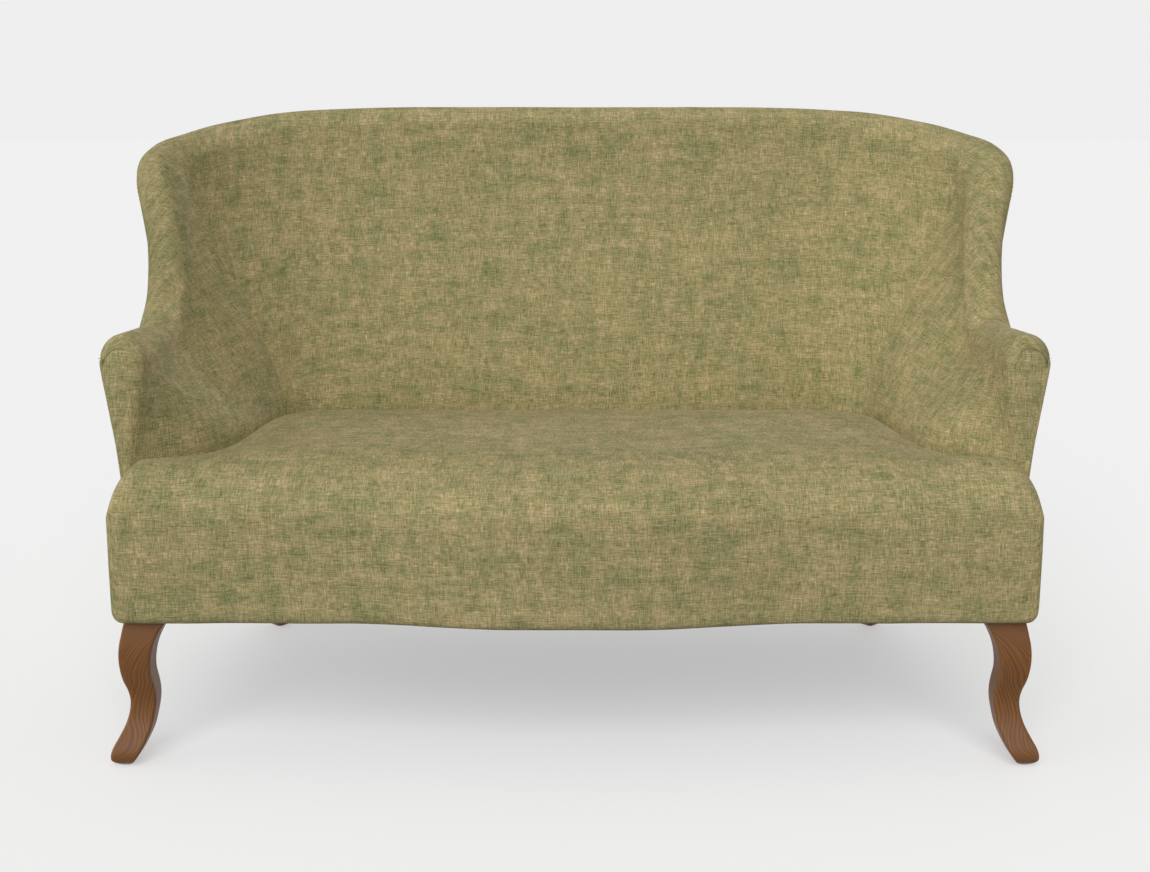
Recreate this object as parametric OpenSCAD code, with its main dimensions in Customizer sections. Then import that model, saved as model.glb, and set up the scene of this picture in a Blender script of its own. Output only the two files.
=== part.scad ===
/* [Overall] */
// Width over the arm rolls
arm_span = 1484; // [1300:2:1800]
// How far each wing stands out past the arm roll
wing_out = 19; // [0:1:60]
// How far each arm roll stands out past the outside arm at the rails
arm_flare = 48; // [30:1:60]
// Height of the back at its middle
back_h = 1023; // [940:1:1150]
// Height of the arms over the floor
arm_h = 672; // [640:1:720]
// Depth of the back at the rails, from the inside back to the outside back
back_base_t = 120; // [100:1:150]
// How far the middle of the top roll stands behind the outside back at the rails
back_rake = 2; // [0:1:40]
// Plan radius of the rear corners at the rails
base_corner_r = 200; // [150:5:240]

/* [Seat] */
// How far each end of the seat front stands out past the outside arm at the rails
seat_end_out = 27; // [20:1:40]
// Thickness of each arm at the rails
arm_base_t = 127; // [110:1:150]
// Depth of the seat from its front ends to the inside back
seat_d = 580; // [480:1:680]
// Height of the seat
seat_h = 478; // [450:1:500]
// How far the middle of the seat front bows forward
bow_d = 34; // [10:1:60]
// Width over which the seat front bows
bow_w = 740; // [400:10:1000]
// Width of the foremost stretch of the bow
bow_flat_w = 160; // [60:10:300]
// Depth of the rounded front edge of the seat
nose_d = 150; // [80:5:200]
// Depth of the rounded front edge of the seat at its ends
end_nose_d = 65; // [60:5:200]
// Height of the rounded front edge of the seat
nose_h = 78; // [50:1:90]
// How far the seat ends fall away at the top
end_drop = 68; // [30:1:74]
// Width of the seat end that falls away
end_round_w = 44; // [30:1:60]
// How far the seat cover is drawn down where it meets the arms and back
edge_dip = 10; // [4:1:16]

/* [Arms and back] */
// Radius of the roll on the arms
arm_roll_r = 36; // [30:1:42]
// Radius of the roll on the wings and back
back_roll_r = 34; // [28:1:40]
// How far the arm fronts stand behind the seat front
arm_set = 80; // [70:1:110]
// How far the rounded edge of the arm front stands out
arm_nose_d = 8; // [6:1:12]
// How far the covers of the arms and back run down behind the seat
tuck_d = 70; // [55:1:90]
// Drop from the middle of the roll to the seam under it
seam_drop = 24; // [16:1:27]

/* [Legs] */
// Height of the rails over the floor
leg_h = 235; // [200:1:260]
// Width of a front leg at its top
leg_w = 70; // [66:1:80]
// How far a front leg stands in from the end of the seat
leg_in = 15; // [14:1:40]
// How far a front leg stands behind the seat front
leg_back = 22; // [16:1:30]
// Width of a rear leg at its top
rear_leg_w = 48; // [40:1:50]
// Width of a rear foot
rear_foot_w = 28; // [22:1:34]
// Height of the straight block at the top of a rear leg
rear_block_h = 45; // [35:1:55]
// Diameter of a glide
glide_dia = 18; // [14:1:20]
// Height of a glide
glide_h = 3; // [2:0.5:5]

/* [Frame] */
// Height of the seat rails
rail_h = 90; // [75:1:100]
// Thickness of the seat rails
rail_t = 24; // [20:1:26]
// Thickness of the upright frame of the arms and back
frame_t = 30; // [24:1:32]
// Height of the arm and wing rails
crest_rail_h = 26; // [20:1:32]
// Height of the top rail
top_rail_h = 60; // [45:1:80]
// Height of the tacking rails
tack_rail_h = 36; // [28:1:44]
// Height of the centre stretcher
stretcher_h = 60; // [45:1:70]
// Side of a corner block
block_w = 70; // [60:1:80]
// Height of a corner block
block_h = 45; // [40:1:60]
// Diameter of a dowel
dowel_dia = 10; // [8:1:12]
// Length of a dowel
dowel_l = 45; // [36:1:50]
// Diameter of a leg bolt
bolt_dia = 8; // [6:1:10]
// Length of a leg bolt
bolt_l = 75; // [70:1:78]

/* [Springs and linings] */
// Number of seat springs
spring_count = 8; // [4:2:10]
// Distance of the outer springs from the ends of the rear rail
spring_edge = 39; // [30:1:80]
// Thickness of the spring wire
spring_wire = 3.8; // [3:0.1:4.5]
// Width of a spring over its waves
spring_w = 48; // [36:1:60]
// Length of one wave of a spring
spring_wave = 72; // [60:1:90]
// Width of a webbing strap
web_w = 50; // [40:1:60]
// Thickness of the webbing
web_t = 1.5; // [1:0.1:2]
// Thickness of the hessian
hessian_t = 1; // [0.8:0.1:1.5]

/* [Upholstery] */
// Thickness of the covers
cover_t = 2; // [1.5:0.1:2.5]
// Thickness of the padding on the front rail
front_pad_t = 10; // [8:1:14]
// Thickness of the dust cover under the seat
dust_t = 0.8; // [0.6:0.1:1.2]

/* [Hidden] */

fit_gap = 0.3;       // clearance between neighbours that rest on each other
pad_gap = 0.6;       // clearance between a cover and its padding
frame_gap = 1;       // clearance between the covers and the timber
seat_gap = 1.5;      // clearance between the seat and the arms and back
seam_gap = 2.5;      // clearance between the covers at the seam under the roll
over = 5;            // overrun of cuts
tiny = 0.001;        // smallest amount that counts

cover_col = "#948a61";
foam_col = "#e6dfc4";
beech_col = "#c9a878";
leg_col = "#6e4b2d";
steel_col = "#9a9c9e";
hessian_col = "#a98f66";
web_col = "#3c3a38";
dust_col = "#26262a";

base_half = arm_span / 2 - arm_flare;
seat_in_half = base_half - arm_base_t;
seat_half = base_half + seat_end_out;
base_d = seat_d + back_base_t;
crest_d = base_d + back_rake;
arm_crest_half = arm_span / 2 - arm_roll_r;
wing_crest_half = arm_span / 2 + wing_out - back_roll_r;
arm_crest_z = arm_h - arm_roll_r;
back_crest_z = back_h - back_roll_r;
rear_y = crest_d + back_roll_r;
mid_y = (rear_y - bow_d) / 2;
rail_top = leg_h + rail_h;
tuck_z = seat_h - tuck_d;
frame_in = cover_t + frame_gap;
pad_in = cover_t + pad_gap;
frame_top_drop = 6;
nose_z = seat_h - nose_h;
rail_outer = base_half - frame_in;
rail_inner = rail_outer - rail_t;
rear_rail_outer = base_d - frame_in;
rear_rail_inner = rear_rail_outer - rail_t;
corner_x = base_half - base_corner_r;
corner_y = base_d - base_corner_r;
front_rail_y = frame_in + front_pad_t;
front_joint_y = front_rail_y + rail_t;

// One row for each section of the arm, wing and back, from the arm front round to the middle of the back:
// across and along to the foot of the inner face, across and along to the middle of the roll,
// how far the section belongs to the back, and how far its roll has risen from the arm to the back
section_shares = [
    [2.000, 0.000, 0.999, 0.000, 0.00, -0.030],
    [1.886, 0.040, 1.000, 0.032, 0.00,  0.000],
    [1.634, 0.110, 1.000, 0.088, 0.00,  0.000],
    [1.317, 0.200, 1.000, 0.161, 0.00, -0.005],
    [1.106, 0.310, 0.998, 0.244, 0.00, -0.010],
    [1.000, 0.450, 0.994, 0.322, 0.00, -0.010],
    [0.988, 0.580, 0.995, 0.399, 0.10,  0.030],
    [0.977, 0.690, 0.979, 0.460, 0.30,  0.210],
    [0.966, 0.770, 0.976, 0.518, 0.70,  0.490],
    [0.954, 0.836, 1.002, 0.588, 1.00,  0.740],
    [0.933, 0.896, 1.002, 0.688, 1.00,  0.820],
    [0.896, 0.952, 0.960, 0.796, 1.00,  0.858],
    [0.829, 0.988, 0.873, 0.895, 1.00,  0.920],
    [0.705, 1.000, 0.735, 0.958, 1.00,  0.974],
    [0.494, 1.000, 0.508, 0.987, 1.00,  0.997],
    [0.247, 1.000, 0.251, 0.997, 1.00,  1.000],
    [0.000, 1.000, 0.000, 1.000, 1.00,  1.000]
];
last = len(section_shares) - 1;

// Places along the row of sections where one piece ends and the next begins, as shares of the way
arm_post_shares = [0.125, 0.1875];
wing_post_shares = [0.4375, 0.5];
back_post_shares = [0.6875, 0.75];
cover_seam_share = 0.625;
outer_seam_share = 0.71875;
centre_post_share = 0.98875;
arm_front = 0;
arm_post_front = last * arm_post_shares[0];
arm_post_rear = last * arm_post_shares[1];
wing_post_front = last * wing_post_shares[0];
wing_post_rear = last * wing_post_shares[1];
cover_seam = last * cover_seam_share;
back_post_front = last * back_post_shares[0];
back_post_rear = last * back_post_shares[1];
outer_seam = last * outer_seam_share;
centre_post_edge = last * centre_post_share;
ring_step = 0.5;
cover_step = 0.25;

// Rings that round the arm front, from the front: how far back from it and how far in, as shares of its depth
front_ring_shares = [[0, 0.9], [0.3, 0.3]];

// How the inner face starts and ends between its foot and the roll
face_start_share = 0.35;
face_end_share = 0.15;
face_end_rise_share = 1.1;
face_steps = 6;
roll_steps = 8;

function lerp(a, b, t) = a + (b - a) * t;
function clamp(v) = max(0, min(1, v));
function ease(t) = (1 - cos(180 * clamp(t))) / 2;
function fall(t) = 1 - sqrt(max(0, 1 - clamp(t) * clamp(t)));

function across(s) = s <= 1 ? s * seat_in_half : seat_in_half + (s - 1) * (base_half - seat_in_half);

// Foot, roll middle, roll height and roll radius of a row of shares
function sized(r) = [
    across(r[0]),
    arm_set + r[1] * (seat_d - arm_set),
    r[2] * lerp(arm_crest_half, wing_crest_half, r[4]),
    arm_set + r[3] * (crest_d - arm_set),
    lerp(arm_crest_z, back_crest_z, r[5]),
    lerp(arm_roll_r, back_roll_r, r[4])
];
rows = [for (r = section_shares) sized(r)];

function mirrored_row(r) = [-r[0], r[1], -r[2], r[3], r[4], r[5]];
function row(i) = i < 0 ? 2 * rows[0] - rows[1] : i > last ? mirrored_row(rows[2 * last - i]) : rows[i];
function spline(a, b, c, d, t) =
    (2 * b + (c - a) * t + (2 * a - 5 * b + 4 * c - d) * t * t + (3 * b - a - 3 * c + d) * t * t * t) / 2;
function row_at(u) =
    let (i = min(floor(u), last - 1))
    spline(row(i - 1), row(i), row(i + 1), row(i + 2), u - i);

// How far the outside of the base lies from a point, along a direction
function reach(b, n) =
    let (
        to_side = n[0] > tiny ? (base_half - b[0]) / n[0] : arm_span,
        to_rear = n[1] > tiny ? (base_d - b[1]) / n[1] : arm_span,
        c = b - [corner_x, corner_y],
        p = c * n
    )
    b[1] + to_side * n[1] <= corner_y ? to_side
        : b[0] + to_rear * n[0] <= corner_x ? to_rear
        : sqrt(p * p - c * c + base_corner_r * base_corner_r) - p;

// A section: foot, direction in plan, distance to the roll, its height and radius, distance to the base, side
function section_at(u) =
    let (
        turned = u > last,
        r = row_at(turned ? 2 * last - u : u),
        b = [r[0], r[1]],
        d = [r[2] - r[0], r[3] - r[1]],
        len_d = norm(d),
        n = d / len_d
    )
    [b, n, len_d, r[4], r[5], reach(b, n), turned ? -1 : 1];

function place(s, p, dy = 0) =
    let (at = s[0] + p[0] * s[1])
    [s[6] * at[0], at[1] + dy - mid_y, p[1]];

// The outer face, slightly hollow, from the seam under the roll to the base
outer_hollow_share = 0.35;
function outer_at(s, z) =
    let (t = clamp((s[3] - seam_drop - z) / (s[3] - seam_drop - leg_h)))
    lerp(s[2] + sqrt(s[4] * s[4] - seam_drop * seam_drop), s[5], t + outer_hollow_share * t * (1 - t));

// The inner face from its foot to the roll
function face_point(s, t) =
    let (
        run = s[2] - s[4],
        rise = s[3] - seat_h,
        h10 = t * t * t - 2 * t * t + t,
        h01 = 3 * t * t - 2 * t * t * t,
        h11 = t * t * t - t * t
    )
    [
        h10 * face_start_share * run + h01 * run + h11 * face_end_share * run,
        seat_h + h10 * rise + h01 * rise + h11 * face_end_rise_share * rise
    ];
function inner_line(s) = concat(
    [[0, tuck_z]],
    [for (k = [0 : face_steps - 1]) face_point(s, k / face_steps)],
    [for (k = [0 : roll_steps]) let (a = 180 * k / roll_steps) [s[2] - s[4] * cos(a), s[3] + s[4] * sin(a)]]
);
function under_roll(s) = [
    for (t = [0.5, 1])
        let (a = t * asin(seam_drop / s[4])) [s[2] + s[4] * cos(a), s[3] - s[4] * sin(a)]
];
function cover_line(s) = concat(inner_line(s), under_roll(s));
outer_level_shares = [0, 0.5, 1];
function outer_line(s) = [
    for (t = outer_level_shares)
        let (z = lerp(s[3] - seam_drop - seam_gap, leg_h, t)) [outer_at(s, z), z]
];

// A line moved to its right by a distance
function moved(line, e) = [
    for (k = [0 : len(line) - 1])
        let (
            a = line[max(0, k - 1)],
            b = line[min(len(line) - 1, k + 1)],
            d = (b - a) / norm(b - a)
        )
        line[k] + e * [d[1], -d[0]]
];
function back_to_front(line) = [for (k = [len(line) - 1 : -1 : 0]) line[k]];
function steps(from, to, step = ring_step) = [for (i = [0 : round((to - from) / step)]) from + i * step];

// Whether one corner comes before another, going up or else outward
function outward(p) = abs(p[0]) + p[1];
function rises(a, b) = a[2] == b[2] ? outward(b) > outward(a) : b[2] > a[2];

// Triangles of a flat ring, seen along its normal: each step cuts off the first corner with no other point in it
function ring_normal(p, ids) =
    [for (i = ids) 1] * [for (k = [0 : len(ids) - 1]) cross(p[ids[k]], p[ids[(k + 1) % len(ids)]])];
function turns(up, a, b, c) = up * cross(b - a, c - a) > 0;
function is_ear(p, up, t, ids) =
    turns(up, p[t[0]], p[t[1]], p[t[2]]) && [for (i = ids) if (
        i != t[0] && i != t[1] && i != t[2] && turns(up, p[t[0]], p[t[1]], p[i])
        && turns(up, p[t[1]], p[t[2]], p[i]) && turns(up, p[t[2]], p[t[0]], p[i])
    ) i] == [];
function ears(p, up, ids) = len(ids) == 3 ? [ids] :
    let (
        n = len(ids),
        cuts = [for (k = [0 : n - 1]) [ids[(k + n - 1) % n], ids[k], ids[(k + 1) % n]]],
        cut = [for (t = cuts) if (is_ear(p, up, t, ids)) t][0]
    )
    concat([cut], ears(p, up, [for (i = ids) if (i != cut[1]) i]));

// A closed solid through rings of points. Quads are split from the lower to the higher corner, or all alike.
// The ends are triangles, or strips between the two halves of a ring
module loft(rings, alike = false, strips = false) {
    n = len(rings[0]);
    m = len(rings);
    points = [for (r = rings, p = r) p];
    sides = [
        for (i = [0 : m - 2], k = [0 : n - 1])
            let (a = i * n + k, b = i * n + (k + 1) % n, c = b + n, d = a + n)
            for (f = alike || rises(points[a], points[b]) ? [[c, b, a], [d, c, a]] : [[d, b, a], [d, c, b]]) f
    ];
    first = [for (k = [0 : n - 1]) k];
    final = [for (k = back_to_front(first)) (m - 1) * n + k];
    strip = [for (k = [0 : n / 2 - 2]) [k, k + 1, n - 2 - k, n - 1 - k]];
    end = strips ? strip : ears(points, ring_normal(points, first), first);
    far_end = strips ? [for (f = strip) [for (k = back_to_front(f)) (m - 1) * n + k]]
        : ears(points, ring_normal(points, final), final);
    polyhedron(points = points, faces = concat(sides, end, far_end), convexity = 10);
}

// A solid whose rings are outlines in the section planes
function rings_of(us, outlines) = [
    for (i = [0 : len(us) - 1]) let (s = section_at(us[i])) [for (p = outlines[i]) place(s, p)]
];

// A band through sections, between two distances in front of the outer face. Its levels, from the lowest up,
// are each a share of the roll height plus a rise
function level_at(s, level) = level[0] * s[3] + level[1];
function band_ring(u, levels, near, far) =
    let (s = section_at(u), front = [for (v = levels) let (z = level_at(s, v)) [outer_at(s, z), z]])
    [for (p = concat(
        [for (q = front) q - [far, 0]],
        [for (q = back_to_front(front)) q - [near, 0]]
    )) place(s, p)];
module band(us, levels, near, far) {
    loft([for (u = us) band_ring(u, levels, near, far)], strips = true);
}
module timber(us, levels) {
    color(beech_col) band(us, levels, frame_in, frame_in + frame_t);
}

module on_base() translate([0, -mid_y, 0]) children();
module left() mirror([1, 0, 0]) children();

// Seat front line and its bow. The bow lies between the middle and the section that it starts from
seat_place_shares = [
    1, 0.9644, 0.9356, 0.90625, 0.878, 0.847, 0.8125, 0.75, 0.6875, 0.625, 0.5, 0.375, 0.3125, 0.28125, 0.25,
    0.21875, 0.1875, 0.15625, 0.125, 0.0625, 0
];
seat_us = last * seat_place_shares;
bow_from = cover_seam;
function bow_at(x) = bow_d * (1 - ease((abs(x) - bow_flat_w / 2) / (bow_w / 2 - bow_flat_w / 2)));
bow_half_xs = [for (u = seat_us) if (u >= bow_from) section_at(u)[0][0]];
bow_xs = concat([for (x = back_to_front(bow_half_xs)) if (x > tiny) -x], bow_half_xs);

module front_rail() {
    color(beech_col) on_base() difference() {
        translate([0, 0, leg_h]) linear_extrude(height = rail_h) polygon(concat(
            [[-rail_outer, front_rail_y]],
            [for (x = bow_xs) [x, front_rail_y - bow_at(x)]],
            [[rail_outer, front_rail_y], [rail_outer, front_joint_y]],
            [for (x = back_to_front(bow_xs)) [x, front_joint_y - bow_at(x)]],
            [[-rail_outer, front_joint_y]]
        ));
        dowel_set(fit_gap / 2);
        screw_set(fit_gap / 2);
    }
}

module rear_rail() {
    color(beech_col) on_base() difference() {
        translate([-corner_x, rear_rail_inner, leg_h]) cube([2 * corner_x, rail_t, rail_h]);
        dowel_set(fit_gap / 2);
    }
}

module side_rail() {
    color(beech_col) on_base() difference() {
        translate([rail_inner, front_joint_y, leg_h]) cube([rail_t, corner_y - front_joint_y, rail_h]);
        dowel_set(fit_gap / 2);
        screw_set(fit_gap / 2);
    }
}

corner_set_share = 0.01;
corner_rail_r = base_corner_r * (1 - corner_set_share) - frame_in;
module corner_rail() {
    color(beech_col) on_base() difference() {
        translate([corner_x, corner_y, leg_h]) rotate_extrude(angle = 90, $fn = 96)
            translate([corner_rail_r - rail_t, 0]) square([rail_t, rail_h]);
        dowel_set(fit_gap / 2);
    }
}

module centre_stretcher() {
    color(beech_col) on_base() difference() {
        translate([-rail_t / 2, front_joint_y - bow_d, leg_h])
            cube([rail_t, rear_rail_inner - front_joint_y + bow_d, stretcher_h]);
        dowel_set(fit_gap / 2);
    }
}

// Dowels of the rail joints: place, then turn about Z from +Y
dowel_in_share = 0.45;
dowel_level_shares = [0.3, 0.7];
side_mid_x = rail_inner + rail_t / 2;
rear_mid_y = rear_rail_inner + rail_t / 2;
dowel_places = concat(
    [for (s = [-1, 1], z = dowel_level_shares) [[s * side_mid_x, front_joint_y, leg_h + z * rail_h], 0]],
    [for (s = [-1, 1], z = dowel_level_shares) [[s * side_mid_x, corner_y, leg_h + z * rail_h], 180]],
    [for (s = [-1, 1], z = dowel_level_shares) [[s * corner_x, rear_mid_y, leg_h + z * rail_h], s * 90]],
    [for (z = dowel_level_shares) [[0, front_joint_y - bow_d, leg_h + z * stretcher_h], 0]],
    [for (z = dowel_level_shares) [[0, rear_rail_inner, leg_h + z * stretcher_h], 180]]
);
module dowel_set(grow = 0) {
    for (d = dowel_places) translate(d[0]) rotate([0, 0, d[1]])
        translate([0, -dowel_in_share * dowel_l - grow, 0]) rotate([-90, 0, 0])
        cylinder(d = dowel_dia + 2 * grow, h = dowel_l + 2 * grow, $fn = 32);
}
module rail_dowels() {
    color(beech_col) on_base() dowel_set();
}

// Front corner blocks sit in the corners, rear ones in the rounded corners
rear_block_turn = 54;
rear_block_in_share = 0.62;
rear_inner_r = corner_rail_r - rail_t;
front_block_x = rail_inner - block_w;
module front_block() {
    translate([front_block_x, front_joint_y, leg_h]) cube([block_w, block_w, block_h]);
}
module rear_block() {
    translate([corner_x, corner_y, leg_h]) intersection() {
        cylinder(r = rear_inner_r, h = block_h, $fn = 96);
        rotate([0, 0, rear_block_turn]) translate([rear_block_in_share * rear_inner_r, -block_w, -over])
            cube([rear_inner_r, 2 * block_w, block_h + 2 * over]);
    }
}
module corner_blocks() {
    color(beech_col) on_base() difference() {
        for (s = [0, 1]) mirror([s, 0, 0]) {
            front_block();
            rear_block();
        }
        bolt_set(fit_gap / 2);
        screw_set(fit_gap / 2);
    }
}

// Screws that hold the front blocks to the rails
screw_dia = 5;
screw_l = 40;
screw_head_dia = 9;
screw_head_h = 3;
screw_level_share = 0.8;
screw_side_share = 0.28;
module screw(grow = 0) {
    translate([0, 0, -grow]) cylinder(d = screw_dia + 2 * grow, h = screw_l + 2 * grow, $fn = 24);
    translate([0, 0, screw_l - screw_head_h - grow])
        cylinder(d = screw_head_dia + 2 * grow, h = screw_head_h + 2 * grow, $fn = 24);
}
screw_out = screw_l / 2;
screw_z = leg_h + screw_level_share * block_h;
module screw_set(grow = 0) {
    for (s = [0, 1]) mirror([s, 0, 0]) {
        translate([front_block_x + screw_side_share * block_w, front_joint_y - screw_out, screw_z])
            rotate([-90, 0, 0]) screw(grow);
        translate([rail_inner + screw_out, front_joint_y + (1 - screw_side_share) * block_w, screw_z])
            rotate([0, -90, 0]) screw(grow);
    }
}
module block_screws() {
    color(steel_col) on_base() screw_set();
}

// Levels of the upright frame
rail_level = [0, rail_top];
tack_low = [0, tuck_z];
tack_high = [0, tuck_z + tack_rail_h];
under_crest_rail = [1, -frame_top_drop - crest_rail_h];
under_top_rail = [1, -frame_top_drop - top_rail_h];
crest_top = [1, -frame_top_drop];
mid_share = 0.5;
mid_level = [mid_share, (1 - mid_share) * tack_high[1]];
post_levels = [rail_level, tack_low, tack_high, mid_level, under_crest_rail];
centre_levels = [rail_level, tack_low, tack_high, mid_level, under_top_rail];
crest_levels = [under_crest_rail, crest_top];
tack_levels = [tack_low, tack_high];
top_levels = [under_top_rail, crest_top];
lining_levels = [tack_low, tack_high, mid_level, under_crest_rail, crest_top];
module arm_post() timber(steps(arm_post_front, arm_post_rear), post_levels);
module wing_post() timber(steps(wing_post_front, wing_post_rear), post_levels);
module back_post() timber(steps(back_post_front, back_post_rear), post_levels);
module centre_back_post() {
    timber([centre_post_edge, last, 2 * last - centre_post_edge], centre_levels);
}
module arm_rail() timber(steps(arm_post_front, wing_post_front), crest_levels);
module wing_rail() timber(steps(wing_post_front, back_post_rear), crest_levels);
module top_rail() timber(steps(back_post_rear, 2 * last - back_post_rear), top_levels);
module arm_tack_rail() {
    timber(steps(arm_post_rear, wing_post_front), tack_levels);
    timber(steps(wing_post_rear, back_post_front), tack_levels);
}
module back_tack_rail() {
    for (s = [0, 1]) mirror([s, 0, 0])
        timber(concat(steps(back_post_rear, last - ring_step), [centre_post_edge]), tack_levels);
}

// Outline of a cabriole leg, as shares of its width and height: outer edge upward, then inner edge downward
leg_outer_shares = [
    [0.25, 0.00], [0.345, 0.023], [0.375, 0.066], [0.335, 0.11], [0.21, 0.18], [0.075, 0.264], [-0.01, 0.36],
    [-0.025, 0.43], [0.005, 0.49], [0.09, 0.58], [0.13, 0.655], [0.145, 0.74], [0.125, 0.82], [0.07, 0.906],
    [0, 1]
];
leg_inner_shares = [
    [-0.98, 1.00], [-0.81, 0.93], [-0.66, 0.84], [-0.565, 0.715], [-0.555, 0.63], [-0.595, 0.54],
    [-0.615, 0.48], [-0.61, 0.404], [-0.56, 0.31], [-0.49, 0.22], [-0.375, 0.136], [-0.25, 0.066],
    [-0.09, 0.00]
];
leg_x = seat_half - leg_in;
function leg_point(p) = [p[0] * leg_w, glide_h + p[1] * (leg_h - glide_h)];
leg_line = [for (p = concat(leg_outer_shares, leg_inner_shares)) leg_point(p)];
module front_leg() {
    color(leg_col) on_base() difference() {
        intersection() {
            translate([0, leg_back + 2 * leg_w, 0]) rotate([90, 0, 0]) linear_extrude(height = 3 * leg_w)
                polygon([for (p = leg_line) [leg_x + p[0], p[1]]]);
            translate([leg_x - 2 * leg_w, 0, 0]) rotate([90, 0, 90]) linear_extrude(height = 3 * leg_w)
                polygon([for (p = leg_line) [leg_back - p[0], p[1]]]);
        }
        bolt_set(fit_gap / 2);
    }
}

// Rear legs stand cornerwise: straight block, then raked back to the foot
rear_leg_set = 4;
rear_leg_x = corner_x + base_corner_r / 2;
rear_leg_y = corner_y + sqrt(pow(base_corner_r, 2) - pow(rear_leg_x - corner_x, 2))
    - frame_in - frame_gap - rear_leg_w / sqrt(2) - rear_leg_set;
rear_foot_y = rear_y - rear_foot_w / sqrt(2);
leg_edge_share = 0.08;
function leg_ring(w, y, z) = [
    for (a = [0 : 90 : 270], e = [-1, 1])
        let (r = w / sqrt(2), c = leg_edge_share * w, d = [cos(a), sin(a)], t = [-sin(a), cos(a)])
        [rear_leg_x + (r - c) * d[0] + e * c * t[0], y + (r - c) * d[1] + e * c * t[1] - mid_y, z]
];
rear_bend_shares = [0, 0.12, 0.3, 0.55, 0.8, 1];
rear_bend = 1.4;
module rear_leg() {
    top_z = leg_h - rear_block_h;
    color(leg_col) difference() {
        loft(concat(
            [for (t = back_to_front(rear_bend_shares)) leg_ring(
                lerp(rear_leg_w, rear_foot_w, t),
                lerp(rear_leg_y, rear_foot_y, pow(t, rear_bend)),
                lerp(top_z, glide_h, t)
            )],
            [leg_ring(rear_leg_w, rear_leg_y, leg_h)]
        ));
        on_base() bolt_set(fit_gap / 2);
    }
}

// Leg bolts stand upright through the corner blocks into the legs
nut_h = 6.5;
nut_w = 15;
washer_t = 1.6;
washer_dia = 18;
front_bolt_share = 0.3;
rear_bolt_shares = [0.17, 0.2];
front_bolt = [rail_inner - washer_dia / 2 - fit_gap, front_joint_y + front_bolt_share * block_w];
rear_bolt = [rear_leg_x, rear_leg_y] - rear_leg_w * rear_bolt_shares;
bolt_top = leg_h + block_h + washer_t + nut_h;
module at_legs() {
    for (s = [0, 1]) mirror([s, 0, 0]) {
        translate(front_bolt) children();
        translate(rear_bolt) children();
    }
}
module bolt_set(grow = 0) {
    at_legs() translate([0, 0, bolt_top - bolt_l - grow])
        cylinder(d = bolt_dia + 2 * grow, h = bolt_l + grow, $fn = 32);
}
module leg_bolts() {
    color(steel_col) on_base() bolt_set();
}
module leg_nuts() {
    color(steel_col) on_base() at_legs() translate([0, 0, leg_h + block_h]) difference() {
        union() {
            cylinder(d = washer_dia, h = washer_t, $fn = 32);
            cylinder(d = nut_w, h = washer_t + nut_h, $fn = 6);
        }
        translate([0, 0, -over]) cylinder(d = bolt_dia + fit_gap, h = washer_t + nut_h + 2 * over, $fn = 32);
    }
}
foot_share = 0.08;
module leg_glides() {
    color(steel_col) on_base() for (s = [0, 1]) mirror([s, 0, 0]) {
        translate([leg_x + foot_share * leg_w, leg_back - foot_share * leg_w, 0])
            cylinder(d = glide_dia, h = glide_h, $fn = 32);
        translate([rear_leg_x, rear_foot_y, 0]) cylinder(d = glide_dia, h = glide_h, $fn = 32);
    }
}

// Springs lie on the rails from front to rear, held by clips
clip_plate = 1.2;
clip_w = 18;
clip_l = 16;
clip_h = spring_wire + 2 * clip_plate + 2 * fit_gap;
spring_z = rail_top + clip_plate + fit_gap;
spring_pitch = 2 * (corner_x - spring_edge) / (spring_count - 1);
spring_xs = [for (k = [0 : spring_count - 1]) (k - (spring_count - 1) / 2) * spring_pitch];
function spring_front(x) = front_rail_y + rail_t / 2 - bow_at(x);
spring_points_per_wave = 6;
function wave_path(x) =
    let (
        y0 = spring_front(x) + clip_l / 2,
        y1 = rear_mid_y - clip_l / 2,
        waves = round((y1 - y0) / spring_wave),
        n = waves * spring_points_per_wave,
        amp = (spring_w - spring_wire) / 2
    )
    concat(
        [[x, y0 - clip_l]],
        [for (k = [0 : n])
            let (t = k / n, ramp = clamp(2 * min(t, 1 - t) * waves))
            [x + amp * ramp * sin(360 * waves * t), lerp(y0, y1, t)]],
        [[x, y1 + clip_l]]
    );
module seat_springs() {
    half = spring_wire / 2;
    color(steel_col) on_base() for (x = spring_xs) translate([0, 0, spring_z])
        linear_extrude(height = spring_wire)
        polygon(concat(moved(wave_path(x), half), back_to_front(moved(wave_path(x), -half))));
}
module clip() {
    difference() {
        translate([-clip_w / 2, -clip_l / 2, 0]) cube([clip_w, clip_l, clip_h]);
        translate([-spring_wire / 2 - fit_gap, -clip_l / 2 - over, clip_plate])
            cube([spring_wire + 2 * fit_gap, clip_l + 2 * over, spring_wire + 2 * fit_gap]);
    }
}
module spring_clips() {
    color(steel_col) on_base() for (x = spring_xs) {
        translate([x, spring_front(x), rail_top]) clip();
        translate([x, rear_mid_y, rail_top]) clip();
    }
}

arc_step = 15;
seat_hessian_z = rail_top + clip_h + fit_gap;
hessian_in = frame_in + rail_t + 2 * cover_t;
// Outline inside the base: bowed front between two points, rounded rear corners
function base_outline(in, front_y) = concat(
    [[in - base_half, front_y]],
    [for (x = bow_xs) [x, front_rail_y - bow_at(x)]],
    [[base_half - in, front_y]],
    [for (a = [0 : arc_step : 180])
        [a > 90 ? -corner_x : corner_x, corner_y] + (base_corner_r - in) * [cos(a), sin(a)]],
    [[in - base_half, corner_y]]
);
module seat_hessian() {
    color(hessian_col) on_base() translate([0, 0, seat_hessian_z]) linear_extrude(height = hessian_t)
        polygon(base_outline(hessian_in, front_joint_y));
}

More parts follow.
